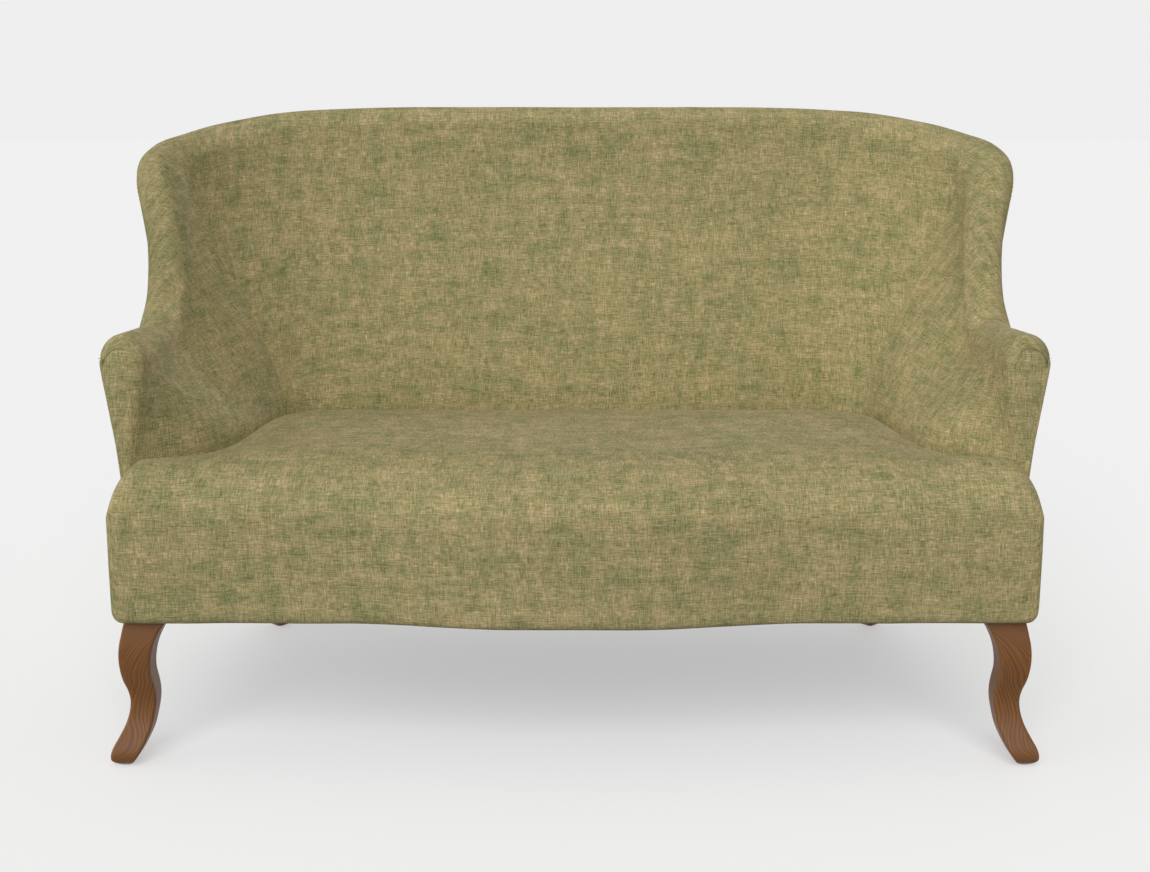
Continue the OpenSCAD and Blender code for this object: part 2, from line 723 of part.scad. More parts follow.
// Straps and hessian in front of the back frame, hessian inside the arms
frame_face = frame_in + frame_t;
upright_face = frame_face + pad_gap;
cross_face = upright_face + web_t + pad_gap;
back_hessian_face = cross_face + web_t + 3 * pad_gap;
arm_hessian_face = frame_face + pad_gap;
back_pad_face = back_hessian_face + hessian_t + pad_gap;
arm_pad_face = arm_hessian_face + hessian_t + pad_gap;
web_place_shares = [0.8125, 0.875, 0.9375];
cross_level_shares = [0.25, 0.5, 0.75];

// An upright strap lies flat in the middle of one facet of the frame's face
module strap(u) {
    a = band_ring(u, [tack_low, crest_top], upright_face, upright_face + web_t);
    b = band_ring(u + ring_step, [tack_low, crest_top], upright_face, upright_face + web_t);
    half = web_w / 2 / norm(b[0] - a[0]);
    loft([for (t = [0.5 - half, 0.5 + half]) [for (k = [0 : len(a) - 1]) lerp(a[k], b[k], t)]]);
}
module back_webbing_upright() {
    color(web_col) for (s = [0, 1], u = last * web_place_shares) mirror([s, 0, 0]) strap(u);
}
module back_webbing_cross() {
    color(web_col) for (c = cross_level_shares) band(
        steps(back_post_rear, 2 * last - back_post_rear),
        [for (e = [-1, 1]) [c, (1 - c) * tack_high[1] + e * web_w / 2]],
        cross_face, cross_face + web_t
    );
}
module back_hessian() {
    color(hessian_col) band(steps(cover_seam, 2 * last - cover_seam), lining_levels,
        back_hessian_face, back_hessian_face + hessian_t);
}
module arm_hessian() {
    color(hessian_col) band(steps(arm_post_front, cover_seam), lining_levels,
        arm_hessian_face, arm_hessian_face + hessian_t);
}

// Padding between the lining and the cover, hooked over the rail at its top
function pad_outline(s, back) =
    let (top = s[3] - frame_top_drop + pad_gap)
    concat(
        moved(inner_line(s), pad_in),
        [[outer_at(s, top) - pad_in, top]],
        [for (z = concat([top], [for (v = back_to_front(lining_levels)) if (v != crest_top) level_at(s, v)]))
            [outer_at(s, z) - back, z]]
    );
module arm_foam() {
    us = steps(arm_post_front, cover_seam);
    color(foam_col) loft(rings_of(us, [for (u = us) pad_outline(section_at(u), arm_pad_face)]));
}
module back_foam() {
    us = steps(cover_seam, 2 * last - cover_seam);
    color(foam_col) loft(rings_of(us, [for (u = us) pad_outline(section_at(u), back_pad_face)]));
}

// Lines round the arm front: a distance inside the inner face and roll, and just inside the outer face
function front_line(s, e, levels) = concat(
    [for (p = moved(cover_line(s), e)) [p[0], max(p[1], tuck_z)]],
    [for (z = levels) [outer_at(s, z) - pad_in, z]]
);

module arm_front_pad() {
    us = steps(arm_front, arm_post_front);
    first = section_at(arm_front);
    color(foam_col) loft(concat(
        [for (f = front_ring_shares)
            [for (p = front_line(first, f[1] * arm_nose_d + pad_in, [tuck_z]))
                place(first, p, (f[0] - 1) * arm_nose_d + pad_in)]],
        [for (u = us) let (s = section_at(u)) [for (p = front_line(s, pad_in, [tuck_z])) place(s, p)]]
    ));
}
module arm_facing() {
    s = section_at(arm_front);
    under_seam = s[3] - seam_drop - arm_nose_d;
    line = front_line(s, front_ring_shares[0][1] * arm_nose_d + pad_in, [under_seam, seat_h, tuck_z]);
    color(cover_col) loft([for (dy = [-arm_nose_d, -arm_nose_d + cover_t]) [for (p = line) place(s, p, dy)]]);
}

// A cover as a skin of one thickness over a line in each section
function skin(line) = concat(line, back_to_front(moved(line, cover_t)));
module inside_arm_cover() {
    us = steps(arm_front, cover_seam);
    first = section_at(arm_front);
    color(cover_col) loft(concat(
        [for (f = front_ring_shares)
            [for (p = concat(
                moved(cover_line(first), f[1] * arm_nose_d),
                back_to_front(moved(cover_line(first), f[1] * arm_nose_d + cover_t))))
                place(first, p, (f[0] - 1) * arm_nose_d)]],
        rings_of(us, [for (u = us) skin(cover_line(section_at(u)))])
    ), strips = true);
}
module inside_back_cover() {
    us = steps(cover_seam, 2 * last - cover_seam);
    color(cover_col) loft(rings_of(us, [for (u = us) skin(cover_line(section_at(u)))]), strips = true);
}
// How far the front edge of the outside arm reaches forward beside the facing, at each outer level
front_reach_shares = [1, 1, 0];
module outside_arm_cover() {
    us = steps(arm_front, outer_seam, cover_step);
    first = section_at(arm_front);
    edge = skin(outer_line(first));
    reaches = concat(front_reach_shares, back_to_front(front_reach_shares));
    color(cover_col) loft(concat(
        [[for (k = [0 : len(edge) - 1]) place(first, edge[k], -arm_nose_d * reaches[k])]],
        rings_of(us, [for (u = us) skin(outer_line(section_at(u)))])
    ), strips = true);
}
module outside_back_cover() {
    us = steps(outer_seam, 2 * last - outer_seam, cover_step);
    color(cover_col) loft(rings_of(us, [for (u = us) skin(outer_line(section_at(u)))]), strips = true);
}

// The seat: columns from front to rear, whose rear ends follow the foot of the arms and back
end_corner_r = 12;
end_bottom_r = 20;
seat_row_shares = [0.012, 0.05, 0.12, 0.22, 0.36, 0.58, 0.84, 1];
front_row_shares = [0, 1];
dip_from_share = 0.8;
end_column_shares = [0.3, 0.62, 0.86, 0.97, 1];
arm_nose_y = arm_set - arm_nose_d;
ear_x0 = rows[0][0] + front_ring_shares[0][1] * arm_nose_d;

function seat_front_y(x) =
    end_corner_r * fall((abs(x) - seat_half + end_corner_r) / end_corner_r) - bow_at(x);
end_fall_power = 1.7;
function end_fall(x) =
    let (t = clamp((abs(x) - seat_half + end_round_w) / end_round_w))
    end_drop * (1 - pow(1 - pow(t, end_fall_power), 1 / end_fall_power));
function end_rise(x) = end_bottom_r * fall((abs(x) - seat_half + end_bottom_r) / end_bottom_r);
function beside_arm(x, y) =
    ease((abs(x) - seat_in_half + nose_d / 2) / (nose_d / 2)) * ease((y - arm_nose_y) / arm_set);
function rear_dip(x, t) = abs(x) < ear_x0 ? ease((t - dip_from_share) / (1 - dip_from_share)) : 0;
function seat_top(x, y, depth_share) =
    let (
        end = ease((abs(x) - seat_in_half) / (seat_half - seat_in_half)),
        d = (y - seat_front_y(x)) / lerp(nose_d, end_nose_d, end)
    )
    nose_z + (nose_h - end_fall(x)) * sqrt(1 - pow(1 - clamp(d), 2))
        - edge_dip * max(beside_arm(x, y), rear_dip(x, depth_share));

// A column: its place across, its rear end, how low it runs at the rear, and how much it counts as an end
seat_columns = concat(
    [for (u = seat_us) let (s = section_at(u)) [s[0] - seat_gap * s[1], s[1], tuck_z + seat_gap, 0]],
    [for (f = back_to_front(front_ring_shares))
        [[rows[0][0] + f[1] * arm_nose_d, arm_set + (f[0] - 1) * arm_nose_d - seat_gap], [0, 1], leg_h, 0]],
    [for (t = end_column_shares)
        [[lerp(ear_x0, seat_half, t), arm_nose_y - seat_gap], [t, 1], leg_h, t]]
);
function seat_line(col, e, low) =
    let (
        x = col[0][0] - e * (col[3] > 0 ? col[3] : col[1][0]),
        y1 = col[0][1] - e * (col[3] > 0 ? 1 : col[1][1]) + e,
        y0 = seat_front_y(x + e * col[3]),
        z0 = max(low, leg_h + end_rise(x + e * col[3])),
        xt = x + e * col[3]
    )
    [for (p = moved(concat(
        [for (t = front_row_shares) [y0, lerp(z0, nose_z, t)]],
        [for (t = seat_row_shares) let (y = lerp(y0, y1, t)) [y, seat_top(xt, y, t)]],
        [[y1, max(col[2], low)]]
    ), e)) [x, p[0] - mid_y, p[1]]];
seat_both_sides = concat(
    [for (k = [len(seat_columns) - 1 : -1 : 1]) [1, k]],
    [for (k = [0 : len(seat_columns) - 1]) [-1, k]]
);
function flipped(points, s) = [for (p = points) [s * p[0], p[1], p[2]]];

// A skin over a grid of points, closed at both ends
module capped_skin(outer, inner) {
    m = len(outer);
    n = len(outer[0]);
    points = concat([for (r = outer, p = r) p], [for (r = inner, p = r) p]);
    base = m * n;
    grid = [
        for (i = [0 : m - 2], k = [0 : n - 2])
            let (a = i * n + k) for (f = [[a + n + 1, a + 1, a], [a + n, a + n + 1, a]]) f
    ];
    edges = concat(
        [for (i = [0 : m - 2]) [base + i * n, base + (i + 1) * n, (i + 1) * n, i * n]],
        [for (i = [1 : m - 1]) [base + (i + 1) * n - 1, base + i * n - 1, i * n - 1, (i + 1) * n - 1]],
        [[base + n - 1, base, 0, n - 1]],
        [[base + (m - 1) * n, base + m * n - 1, m * n - 1, (m - 1) * n]]
    );
    polyhedron(points = points, faces = concat(
        grid,
        [for (f = grid) [base + f[2], base + f[1], base + f[0]]],
        [for (f = edges, t = [[f[0], f[1], f[2]], [f[0], f[2], f[3]]]) t],
        [[for (k = [0 : n - 1]) k], [for (k = [n - 1 : -1 : 0]) (m - 1) * n + k]],
        [[for (k = [n - 1 : -1 : 0]) base + k], [for (k = [0 : n - 1]) base + (m - 1) * n + k]]
    ), convexity = 10);
}
module seat_cover() {
    color(cover_col) capped_skin(
        [for (c = seat_both_sides) flipped(seat_line(seat_columns[c[1]], 0, leg_h), c[0])],
        [for (c = seat_both_sides) flipped(seat_line(seat_columns[c[1]], cover_t, leg_h), c[0])]
    );
}
seat_foam_z = seat_hessian_z + hessian_t + fit_gap;
module seat_foam() {
    color(foam_col) loft(
        [for (c = seat_both_sides) flipped(seat_line(seat_columns[c[1]], pad_in, seat_foam_z), c[0])],
        alike = true
    );
}

// Padding on the front rail and round the seat ends
module front_pad() {
    out = seat_half - pad_in;
    side_in = rail_outer + fit_gap;
    end_y = arm_nose_y - seat_gap - pad_in;
    pad_h = rail_h - end_bottom_r + clip_h - fit_gap;
    color(foam_col) on_base() translate([0, 0, leg_h + end_bottom_r]) linear_extrude(height = pad_h)
        polygon(concat(
            [[-out, end_corner_r + pad_in], [-out + end_corner_r, pad_in]],
            [for (x = bow_xs) [x, pad_in - bow_at(x)]],
            [[out - end_corner_r, pad_in], [out, end_corner_r + pad_in], [out, end_y], [side_in, end_y]],
            [[side_in, front_rail_y - fit_gap]],
            [for (x = back_to_front(bow_xs)) [x, front_rail_y - fit_gap - bow_at(x)]],
            [[-side_in, front_rail_y - fit_gap], [-side_in, end_y], [-out, end_y]]
        ));
}

// Thin cloth under the rails, cut out round the legs
dust_in = 14;
module dust_cover() {
    cut_h = dust_t + 2 * over;
    rear_cut = rear_leg_w + 2 * frame_gap;
    color(dust_col) on_base() translate([0, 0, leg_h - dust_t]) difference() {
        linear_extrude(height = dust_t) polygon(base_outline(dust_in, front_rail_y));
        for (s = [0, 1]) mirror([s, 0, 0]) {
            translate([leg_x - leg_w, -over, -over]) cube([2 * leg_w, leg_back + leg_w + over, cut_h]);
            translate([rear_leg_x, rear_leg_y, -over]) rotate([0, 0, 45])
                translate([-rear_cut / 2, -rear_cut / 2, 0]) cube([rear_cut, rear_cut, cut_h]);
        }
    }
}

front_rail();
rear_rail();
left() side_rail();  // side_rail_left
side_rail();  // side_rail_right
left() corner_rail();  // corner_rail_left
corner_rail();  // corner_rail_right
centre_stretcher();
corner_blocks();
left() arm_post();  // arm_post_left
arm_post();  // arm_post_right
left() wing_post();  // wing_post_left
wing_post();  // wing_post_right
left() back_post();  // back_post_left
back_post();  // back_post_right
centre_back_post();
left() arm_rail();  // arm_rail_left
arm_rail();  // arm_rail_right
left() wing_rail();  // wing_rail_left
wing_rail();  // wing_rail_right
top_rail();
left() arm_tack_rail();  // arm_tack_rail_left
arm_tack_rail();  // arm_tack_rail_right
back_tack_rail();
rail_dowels();
block_screws();
left() front_leg();  // front_leg_left
front_leg();  // front_leg_right
left() rear_leg();  // rear_leg_left
rear_leg();  // rear_leg_right
leg_bolts();
leg_nuts();
leg_glides();
seat_springs();
spring_clips();
seat_hessian();
back_webbing_upright();
back_webbing_cross();
back_hessian();
left() arm_hessian();  // arm_hessian_left
arm_hessian();  // arm_hessian_right
seat_foam();
front_pad();
back_foam();
left() arm_foam();  // arm_foam_left
arm_foam();  // arm_foam_right
left() arm_front_pad();  // arm_front_pad_left
arm_front_pad();  // arm_front_pad_right
seat_cover();
inside_back_cover();
left() inside_arm_cover();  // inside_arm_cover_left
inside_arm_cover();  // inside_arm_cover_right
left() arm_facing();  // arm_facing_left
arm_facing();  // arm_facing_right
left() outside_arm_cover();  // outside_arm_cover_left
outside_arm_cover();  // outside_arm_cover_right
outside_back_cover();
dust_cover();
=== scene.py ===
import math
import bpy
import numpy as np
import bmesh
from mathutils import Matrix, Vector, noise
from mathutils.bvhtree import BVHTree


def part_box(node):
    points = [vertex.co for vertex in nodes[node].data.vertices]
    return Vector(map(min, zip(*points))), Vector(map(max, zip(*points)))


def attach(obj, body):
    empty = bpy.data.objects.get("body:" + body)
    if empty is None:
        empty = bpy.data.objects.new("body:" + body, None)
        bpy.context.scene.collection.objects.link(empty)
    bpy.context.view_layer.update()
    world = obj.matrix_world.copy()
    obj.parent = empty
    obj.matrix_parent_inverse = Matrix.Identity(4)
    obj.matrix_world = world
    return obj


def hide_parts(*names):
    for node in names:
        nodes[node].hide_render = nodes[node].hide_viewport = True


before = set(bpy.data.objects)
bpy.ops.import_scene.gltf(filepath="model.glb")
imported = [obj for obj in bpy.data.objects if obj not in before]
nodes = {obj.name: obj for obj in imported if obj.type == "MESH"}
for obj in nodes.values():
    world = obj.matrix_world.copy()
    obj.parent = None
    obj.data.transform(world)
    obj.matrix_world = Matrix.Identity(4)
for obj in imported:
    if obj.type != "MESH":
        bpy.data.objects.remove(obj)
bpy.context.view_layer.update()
print("frame loaded,", len(nodes), "nodes")


def inScene(name, data):
    obj = bpy.data.objects.new(name, data)
    bpy.context.scene.collection.objects.link(obj)
    return obj


# The camera stands where the picture was taken from
camera = inScene("camera", bpy.data.cameras.new("camera"))
camera.data.lens = 50
camera.data.sensor_width = 36
camera.location = (0, -2.720, 1.012)
camera.rotation_euler = (math.radians(90 - 11.43), 0, 0)
bpy.context.scene.camera = camera

# The tub of arms, wings and back: sizes in metres, those that the CAD frame was made with
tub = {
    "armSpan": 1.484, "wingOut": 0.019, "armFlare": 0.048, "backHeight": 1.023, "armHeight": 0.672,
    "backBase": 0.120, "backRake": 0.002, "cornerRadius": 0.200, "seatEndOut": 0.027, "armBase": 0.127,
    "seatDepth": 0.580, "seatHeight": 0.478, "armRoll": 0.036, "backRoll": 0.034, "armSet": 0.080,
    "armNose": 0.008, "tuck": 0.070, "seamDrop": 0.004, "frontSeamDrop": -0.008, "outerHollow": 0.45,
    "legHeight": 0.235, "bow": 0.034,
}
# foot across and along, roll across and along, how far it belongs to the back, how far the roll has risen
sections = [
    (2.000, 0.000, 0.999, 0.000, 0.00, -0.030), (1.886, 0.040, 1.000, 0.032, 0.00, 0.000),
    (1.634, 0.110, 1.000, 0.088, 0.00, 0.000), (1.317, 0.200, 1.000, 0.161, 0.00, -0.005),
    (1.106, 0.310, 0.998, 0.244, 0.00, -0.010), (1.000, 0.450, 0.994, 0.322, 0.00, -0.010),
    (0.988, 0.580, 0.995, 0.399, 0.10, 0.030), (0.977, 0.690, 0.979, 0.460, 0.30, 0.210),
    (0.966, 0.770, 0.976, 0.518, 0.70, 0.490), (0.954, 0.836, 1.002, 0.588, 1.00, 0.740),
    (0.933, 0.896, 1.002, 0.688, 1.00, 0.820), (0.896, 0.952, 0.960, 0.796, 1.00, 0.858),
    (0.829, 0.988, 0.873, 0.895, 1.00, 0.920), (0.705, 1.000, 0.735, 0.958, 1.00, 0.974),
    (0.494, 1.000, 0.508, 0.987, 1.00, 0.997), (0.247, 1.000, 0.251, 0.997, 1.00, 1.000),
    (0.000, 1.000, 0.000, 1.000, 1.00, 1.000),
]
middle = len(sections) - 1
lineRows = {"tuck": 5, "face": 26, "roll": 26}
rollStart = lineRows["tuck"] + lineRows["face"]
faceCurve = {"lowOut": 0.35, "highOut": 0.15, "highUp": 1.1}
baseHalf = tub["armSpan"] / 2 - tub["armFlare"]
seatInHalf = baseHalf - tub["armBase"]
seatHalf = baseHalf + tub["seatEndOut"]
baseDepth = tub["seatDepth"] + tub["backBase"]
crestDepth = baseDepth + tub["backRake"]
armCrestHalf = tub["armSpan"] / 2 - tub["armRoll"]
wingCrestHalf = tub["armSpan"] / 2 + tub["wingOut"] - tub["backRoll"]
armCrestZ = tub["armHeight"] - tub["armRoll"]
backCrestZ = tub["backHeight"] - tub["backRoll"]
midY = (crestDepth + tub["backRoll"] - tub["bow"]) / 2
tuckZ = tub["seatHeight"] - tub["tuck"]
cornerX = baseHalf - tub["cornerRadius"]
cornerY = baseDepth - tub["cornerRadius"]


def lerp(a, b, t):
    return a + (b - a) * t


def clamp(v):
    return max(0.0, min(1.0, v))


def ease(t):
    return (1 - math.cos(math.pi * clamp(t))) / 2


def fall(t):
    return 1 - math.sqrt(max(0.0, 1 - clamp(t) ** 2))


def sized(r):
    across = r[0] * seatInHalf if r[0] <= 1 else seatInHalf + (r[0] - 1) * (baseHalf - seatInHalf)
    return np.array([
        across, tub["armSet"] + r[1] * (tub["seatDepth"] - tub["armSet"]),
        r[2] * lerp(armCrestHalf, wingCrestHalf, r[4]), tub["armSet"] + r[3] * (crestDepth - tub["armSet"]),
        lerp(armCrestZ, backCrestZ, r[5]), lerp(tub["armRoll"], tub["backRoll"], r[4]),
    ])


rows = [sized(r) for r in sections]


def rowAt(u):
    i = min(int(math.floor(u)), middle - 1)
    picked = []
    for k in (i - 1, i, i + 1, i + 2):
        if k < 0:
            picked.append(2 * rows[0] - rows[1])
        elif k > middle:
            r = rows[2 * middle - k]
            picked.append(np.array([-r[0], r[1], -r[2], r[3], r[4], r[5]]))
        else:
            picked.append(rows[k])
    a, b, c, d = picked
    t = u - i
    return (2 * b + (c - a) * t + (2 * a - 5 * b + 4 * c - d) * t * t + (3 * b - a - 3 * c + d) * t ** 3) / 2


class Section:
    # one upright slice of the tub: foot, direction in plan, distance to the roll, its height and radius
    def __init__(self, u):
        turned = u > middle
        r = rowAt(2 * middle - u if turned else u)
        self.foot = np.array([r[0], r[1]])
        out = np.array([r[2] - r[0], r[3] - r[1]])
        self.run = float(np.linalg.norm(out))
        self.way = out / self.run
        self.rollZ, self.roll = float(r[4]), float(r[5])
        self.side = -1.0 if turned else 1.0
        self.drop = lerp(tub["frontSeamDrop"], tub["seamDrop"], ease(min(u, 2 * middle - u) / 2))
        b, n = self.foot, self.way
        toSide = (baseHalf - b[0]) / n[0] if n[0] > 1e-6 else 9.0
        toRear = (baseDepth - b[1]) / n[1] if n[1] > 1e-6 else 9.0
        if b[1] + toSide * n[1] <= cornerY:
            self.reach = toSide
        elif b[0] + toRear * n[0] <= cornerX:
            self.reach = toRear
        else:
            c = b - np.array([cornerX, cornerY])
            p = float(c @ n)
            self.reach = math.sqrt(p * p - float(c @ c) + tub["cornerRadius"] ** 2) - p

    def place(self, p, forward=0.0):
        at = self.foot + p[0] * self.way
        return (self.side * at[0], at[1] + forward - midY, p[1])

    def outer(self, z):
        seam = self.rollZ - self.drop
        t = clamp((seam - z) / (seam - tub["legHeight"]))
        top = self.run + math.sqrt(self.roll ** 2 - self.drop ** 2)
        return lerp(top, self.reach, t + tub["outerHollow"] * t * (1 - t))

    def face(self, t):
        run, rise = self.run - self.roll, self.rollZ - tub["seatHeight"]
        h10, h01, h11 = t ** 3 - 2 * t * t + t, 3 * t * t - 2 * t ** 3, t ** 3 - t * t
        return (h10 * faceCurve["lowOut"] * run + h01 * run + h11 * faceCurve["highOut"] * run,
                tub["seatHeight"] + h10 * rise + h01 * rise + h11 * faceCurve["highUp"] * rise)

    def innerLine(self):
        tuckRows, faceRows, rollRows = lineRows["tuck"], lineRows["face"], lineRows["roll"]
        line = [(0.0, lerp(tuckZ, tub["seatHeight"], k / tuckRows)) for k in range(tuckRows)]
        line += [self.face(k / faceRows) for k in range(faceRows)]
        whole = math.pi + math.asin(self.drop / self.roll)
        line += [(self.run - self.roll * math.cos(a), self.rollZ + self.roll * math.sin(a))
                 for a in (whole * k / rollRows for k in range(rollRows + 1))]
        return line

    def outerLine(self, count, gap=0.0006):
        top = self.rollZ - self.drop - gap
        return [(self.outer(z), z) for z in (lerp(top, tub["legHeight"], k / count) for k in range(count + 1))]


def movedLine(line, e):
    # a line moved to its right, by one distance or by one for each point
    p = np.array(line, float)
    d = np.gradient(p, axis=0)
    d /= np.linalg.norm(d, axis=1)[:, None]
    return p + np.broadcast_to(e, len(p))[:, None] * np.stack([d[:, 1], -d[:, 0]], axis=1)


def places(start, end, step):
    count = max(1, round((end - start) / step))
    return [start + (end - start) * k / count for k in range(count + 1)]


def gridNormals(grid):
    n = np.cross(np.gradient(grid, axis=0), np.gradient(grid, axis=1))
    return n / np.maximum(np.linalg.norm(n, axis=2), 1e-12)[:, :, None]


def lengthsAlong(points, axis):
    # the real length from the first point to each, along one axis of a line or grid of points
    steps = np.cumsum(np.linalg.norm(np.diff(points, axis=axis), axis=-1), axis=axis)
    return np.concatenate([np.zeros_like(steps.take([0], axis)), steps], axis=axis)


def clothCoordinates(grid, fromColumn, fromRow, start):
    # real lengths across and up a grid, so that the weave keeps its size on it
    across, up = lengthsAlong(grid, 0), lengthsAlong(grid, 1)
    across -= across[fromColumn][None, :]
    up -= up[:, fromRow][:, None]
    return np.stack([across + start, up], axis=2)


def rolledEdges(grid, inward, sides, depth=0.0016, share=0.22):
    # edges drawn in, with one more line of points beside each so that they turn over a small radius
    for side in sides:
        if side in ("low", "high"):
            grid, inward = grid.transpose(1, 0, 2), inward.transpose(1, 0, 2)
        if side in ("last", "high"):
            grid, inward = grid[::-1], inward[::-1]
        grid = np.concatenate([grid[:1] + inward[:1] * depth, lerp(grid[:1], grid[1:2], share), grid[1:]])
        inward = np.concatenate([inward[:1], inward])
        if side in ("last", "high"):
            grid, inward = grid[::-1], inward[::-1]
        if side in ("low", "high"):
            grid, inward = grid.transpose(1, 0, 2), inward.transpose(1, 0, 2)
    return grid


def gridFaces(m, n):
    return [(i * n + k, (i + 1) * n + k, (i + 1) * n + k + 1, i * n + k + 1)
            for i in range(m - 1) for k in range(n - 1)]


def meshObject(name, points, faces, material, uv=None):
    mesh = bpy.data.meshes.new(name)
    mesh.from_pydata([tuple(map(float, p)) for p in points], [], faces)
    if uv is not None:
        layer = mesh.uv_layers.new(name="weave")
        loops = np.empty(len(mesh.loops), np.int32)
        mesh.loops.foreach_get("vertex_index", loops)
        layer.data.foreach_set("uv", np.asarray(uv, np.float32)[loops].ravel())
    mesh.validate()
    mesh.shade_smooth()
    mesh.materials.append(material)
    return inScene(name, mesh)


def outward(obj):
    # the faces of a closed piece turned to point out
    bm = bmesh.new()
    bm.from_mesh(obj.data)
    bmesh.ops.recalc_face_normals(bm, faces=bm.faces)
    if bm.calc_volume(signed=True) < 0:
        bmesh.ops.reverse_faces(bm, faces=bm.faces)
    bm.to_mesh(obj.data)
    bm.free()
    return obj


def applied(obj):
    # the object's modifiers worked into its mesh
    graph = bpy.context.evaluated_depsgraph_get()
    mesh = bpy.data.meshes.new_from_object(obj.evaluated_get(graph), depsgraph=graph)
    old, name = obj.data, obj.data.name
    obj.modifiers.clear()
    obj.data = mesh
    bpy.data.meshes.remove(old)
    mesh.name = name
    return obj


coverThickness = 0.002


def coverPiece(name, grid, uv):
    # cloth of one thickness over a grid of points, closed round its edges, which stay sharp
    m, n = grid.shape[:2]
    back = grid - gridNormals(grid) * coverThickness
    points = np.concatenate([grid.reshape(-1, 3), back.reshape(-1, 3)])
    base = m * n
    front = gridFaces(m, n)
    rim = [i * n for i in range(m)] + [(m - 1) * n + k for k in range(1, n)]
    rim += [i * n + n - 1 for i in range(m - 2, -1, -1)] + [k for k in range(n - 2, 0, -1)]
    faces = front + [tuple(base + v for v in reversed(f)) for f in front]
    rimEdges = list(zip(rim, rim[1:] + rim[:1]))
    faces += [(b, a, base + a, base + b) for a, b in rimEdges]
    obj = meshObject(name, points, faces, finishes["coverFabric"], np.concatenate([uv.reshape(-1, 2)] * 2))
    mesh = obj.data
    ends = np.empty(len(mesh.edges) * 2, np.int32)
    mesh.edges.foreach_get("vertices", ends)
    ends = np.sort(ends.reshape(-1, 2), axis=1)
    sortedEdges = {tuple(sorted(e)) for e in rimEdges}
    hard = np.array([tuple(e) in sortedEdges for e in ends.tolist()])
    mesh.attributes.new("crease_edge", "FLOAT", "EDGE").data.foreach_set("value", hard.astype(np.float32))
    mesh.attributes.new("sharp_edge", "BOOLEAN", "EDGE").data.foreach_set("value", hard)
    smooth = obj.modifiers.new("smooth", "SUBSURF")
    smooth.levels = smooth.render_levels = 1
    smooth.boundary_smooth = "PRESERVE_CORNERS"
    return applied(obj)


def softened(values, rounds):
    # each value drawn towards the ones beside it
    for _ in range(rounds):
        p = np.pad(values, 1, mode="edge")
        values = (p[:-2, 1:-1] + p[2:, 1:-1] + p[1:-1, :-2] + p[1:-1, 2:] + 4 * values) / 8
    return values


stuffing = {"frames": 20, "quality": 6, "mass": 0.35, "stiffness": 25, "shear": 12, "bending": 1.5,
            "slack": -0.012, "softening": 14, "edgeColumns": 6}


def stuffed(grid, cap, pressure=4.0, hold=0.12, firmEdge=2):
    # cloth pressed out by its stuffing: the grid is simulated with its edges held and no gravity
    m, n = grid.shape[:2]
    obj = meshObject("stuffing", grid.reshape(-1, 3), gridFaces(m, n), finishes["foam"])
    group = obj.vertex_groups.new(name="held")
    i, k = np.meshgrid(np.arange(m), np.arange(n), indexing="ij")
    edge = np.minimum(np.minimum(i, m - 1 - i), np.minimum(k, n - 1 - k))
    group.add(np.where(edge.ravel() < firmEdge)[0].tolist(), 1.0, "REPLACE")
    group.add(np.where(edge.ravel() >= firmEdge)[0].tolist(), hold, "REPLACE")
    cloth = obj.modifiers.new("cloth", "CLOTH")
    settings = cloth.settings
    settings.quality = stuffing["quality"]
    settings.mass = stuffing["mass"]
    settings.tension_stiffness = settings.compression_stiffness = stuffing["stiffness"]
    settings.shear_stiffness = stuffing["shear"]
    settings.bending_stiffness = stuffing["bending"]
    settings.shrink_min = stuffing["slack"]
    settings.use_pressure = True
    settings.uniform_pressure_force = pressure
    settings.vertex_group_mass = "held"
    settings.effector_weights.gravity = 0
    cloth.collision_settings.use_collision = False
    cloth.collision_settings.use_self_collision = False
    cloth.point_cache.frame_start, cloth.point_cache.frame_end = 1, stuffing["frames"]
    scene = bpy.context.scene
    for step in range(1, stuffing["frames"] + 1):
        scene.frame_set(step)
    shape = obj.evaluated_get(bpy.context.evaluated_depsgraph_get()).data
    moved = np.empty(m * n * 3, np.float32)
    shape.vertices.foreach_get("co", moved)
    normals = gridNormals(grid)
    lift = ((moved.reshape(m, n, 3) - grid) * normals).sum(2)
    mesh = obj.data
    bpy.data.objects.remove(obj)
    bpy.data.meshes.remove(mesh)
    scene.frame_set(1)
    firm = np.clip((edge - 1) / stuffing["edgeColumns"], 0, 1)
    lift = softened(cap * np.tanh(np.maximum(lift, 0) / cap), stuffing["softening"])
    lift = lift * firm * firm * (3 - 2 * firm)
    print("stuffed, lifted by", [round(float(v) * 1000, 1) for v in (lift.mean(), lift.max())], "mm")
    return grid + normals * lift[:, :, None]


# The surfaces that the padding has to stay under
coverTrees = {}


def noteCover(group, grid):
    for points in (grid, grid[::-1] * (-1, 1, 1)):
        m, n = points.shape[:2]
        coverTrees.setdefault(group, []).append(BVHTree.FromPolygons(
            [tuple(map(float, p)) for p in points.reshape(-1, 3)], gridFaces(m, n)))


def keptUnder(obj, group, depth, reach=0.05):
    # points of a pad that stand in front of its cover go back under it
    for v in obj.data.vertices:
        hits = [h for h in (tree.find_nearest(v.co, reach) for tree in coverTrees[group]) if h[0] is not None]
        if hits:
            at, normal, _, away = min(hits, key=lambda h: h[3])
            if (v.co - at).dot(normal) > -depth:
                v.co = at - normal * depth
    return obj


turning = 0.015


def asSheet(obj, grid):
    # works out the size each cover is cut to: its lengths across, row by row, and the longest up, with
    # turnings; none of it is kept, and the piece comes back as it is
    lengths = lengthsAlong(grid, 0)[-1]
    up = lengthsAlong(grid, 1)[:, -1].max() + 2 * turning
    return obj


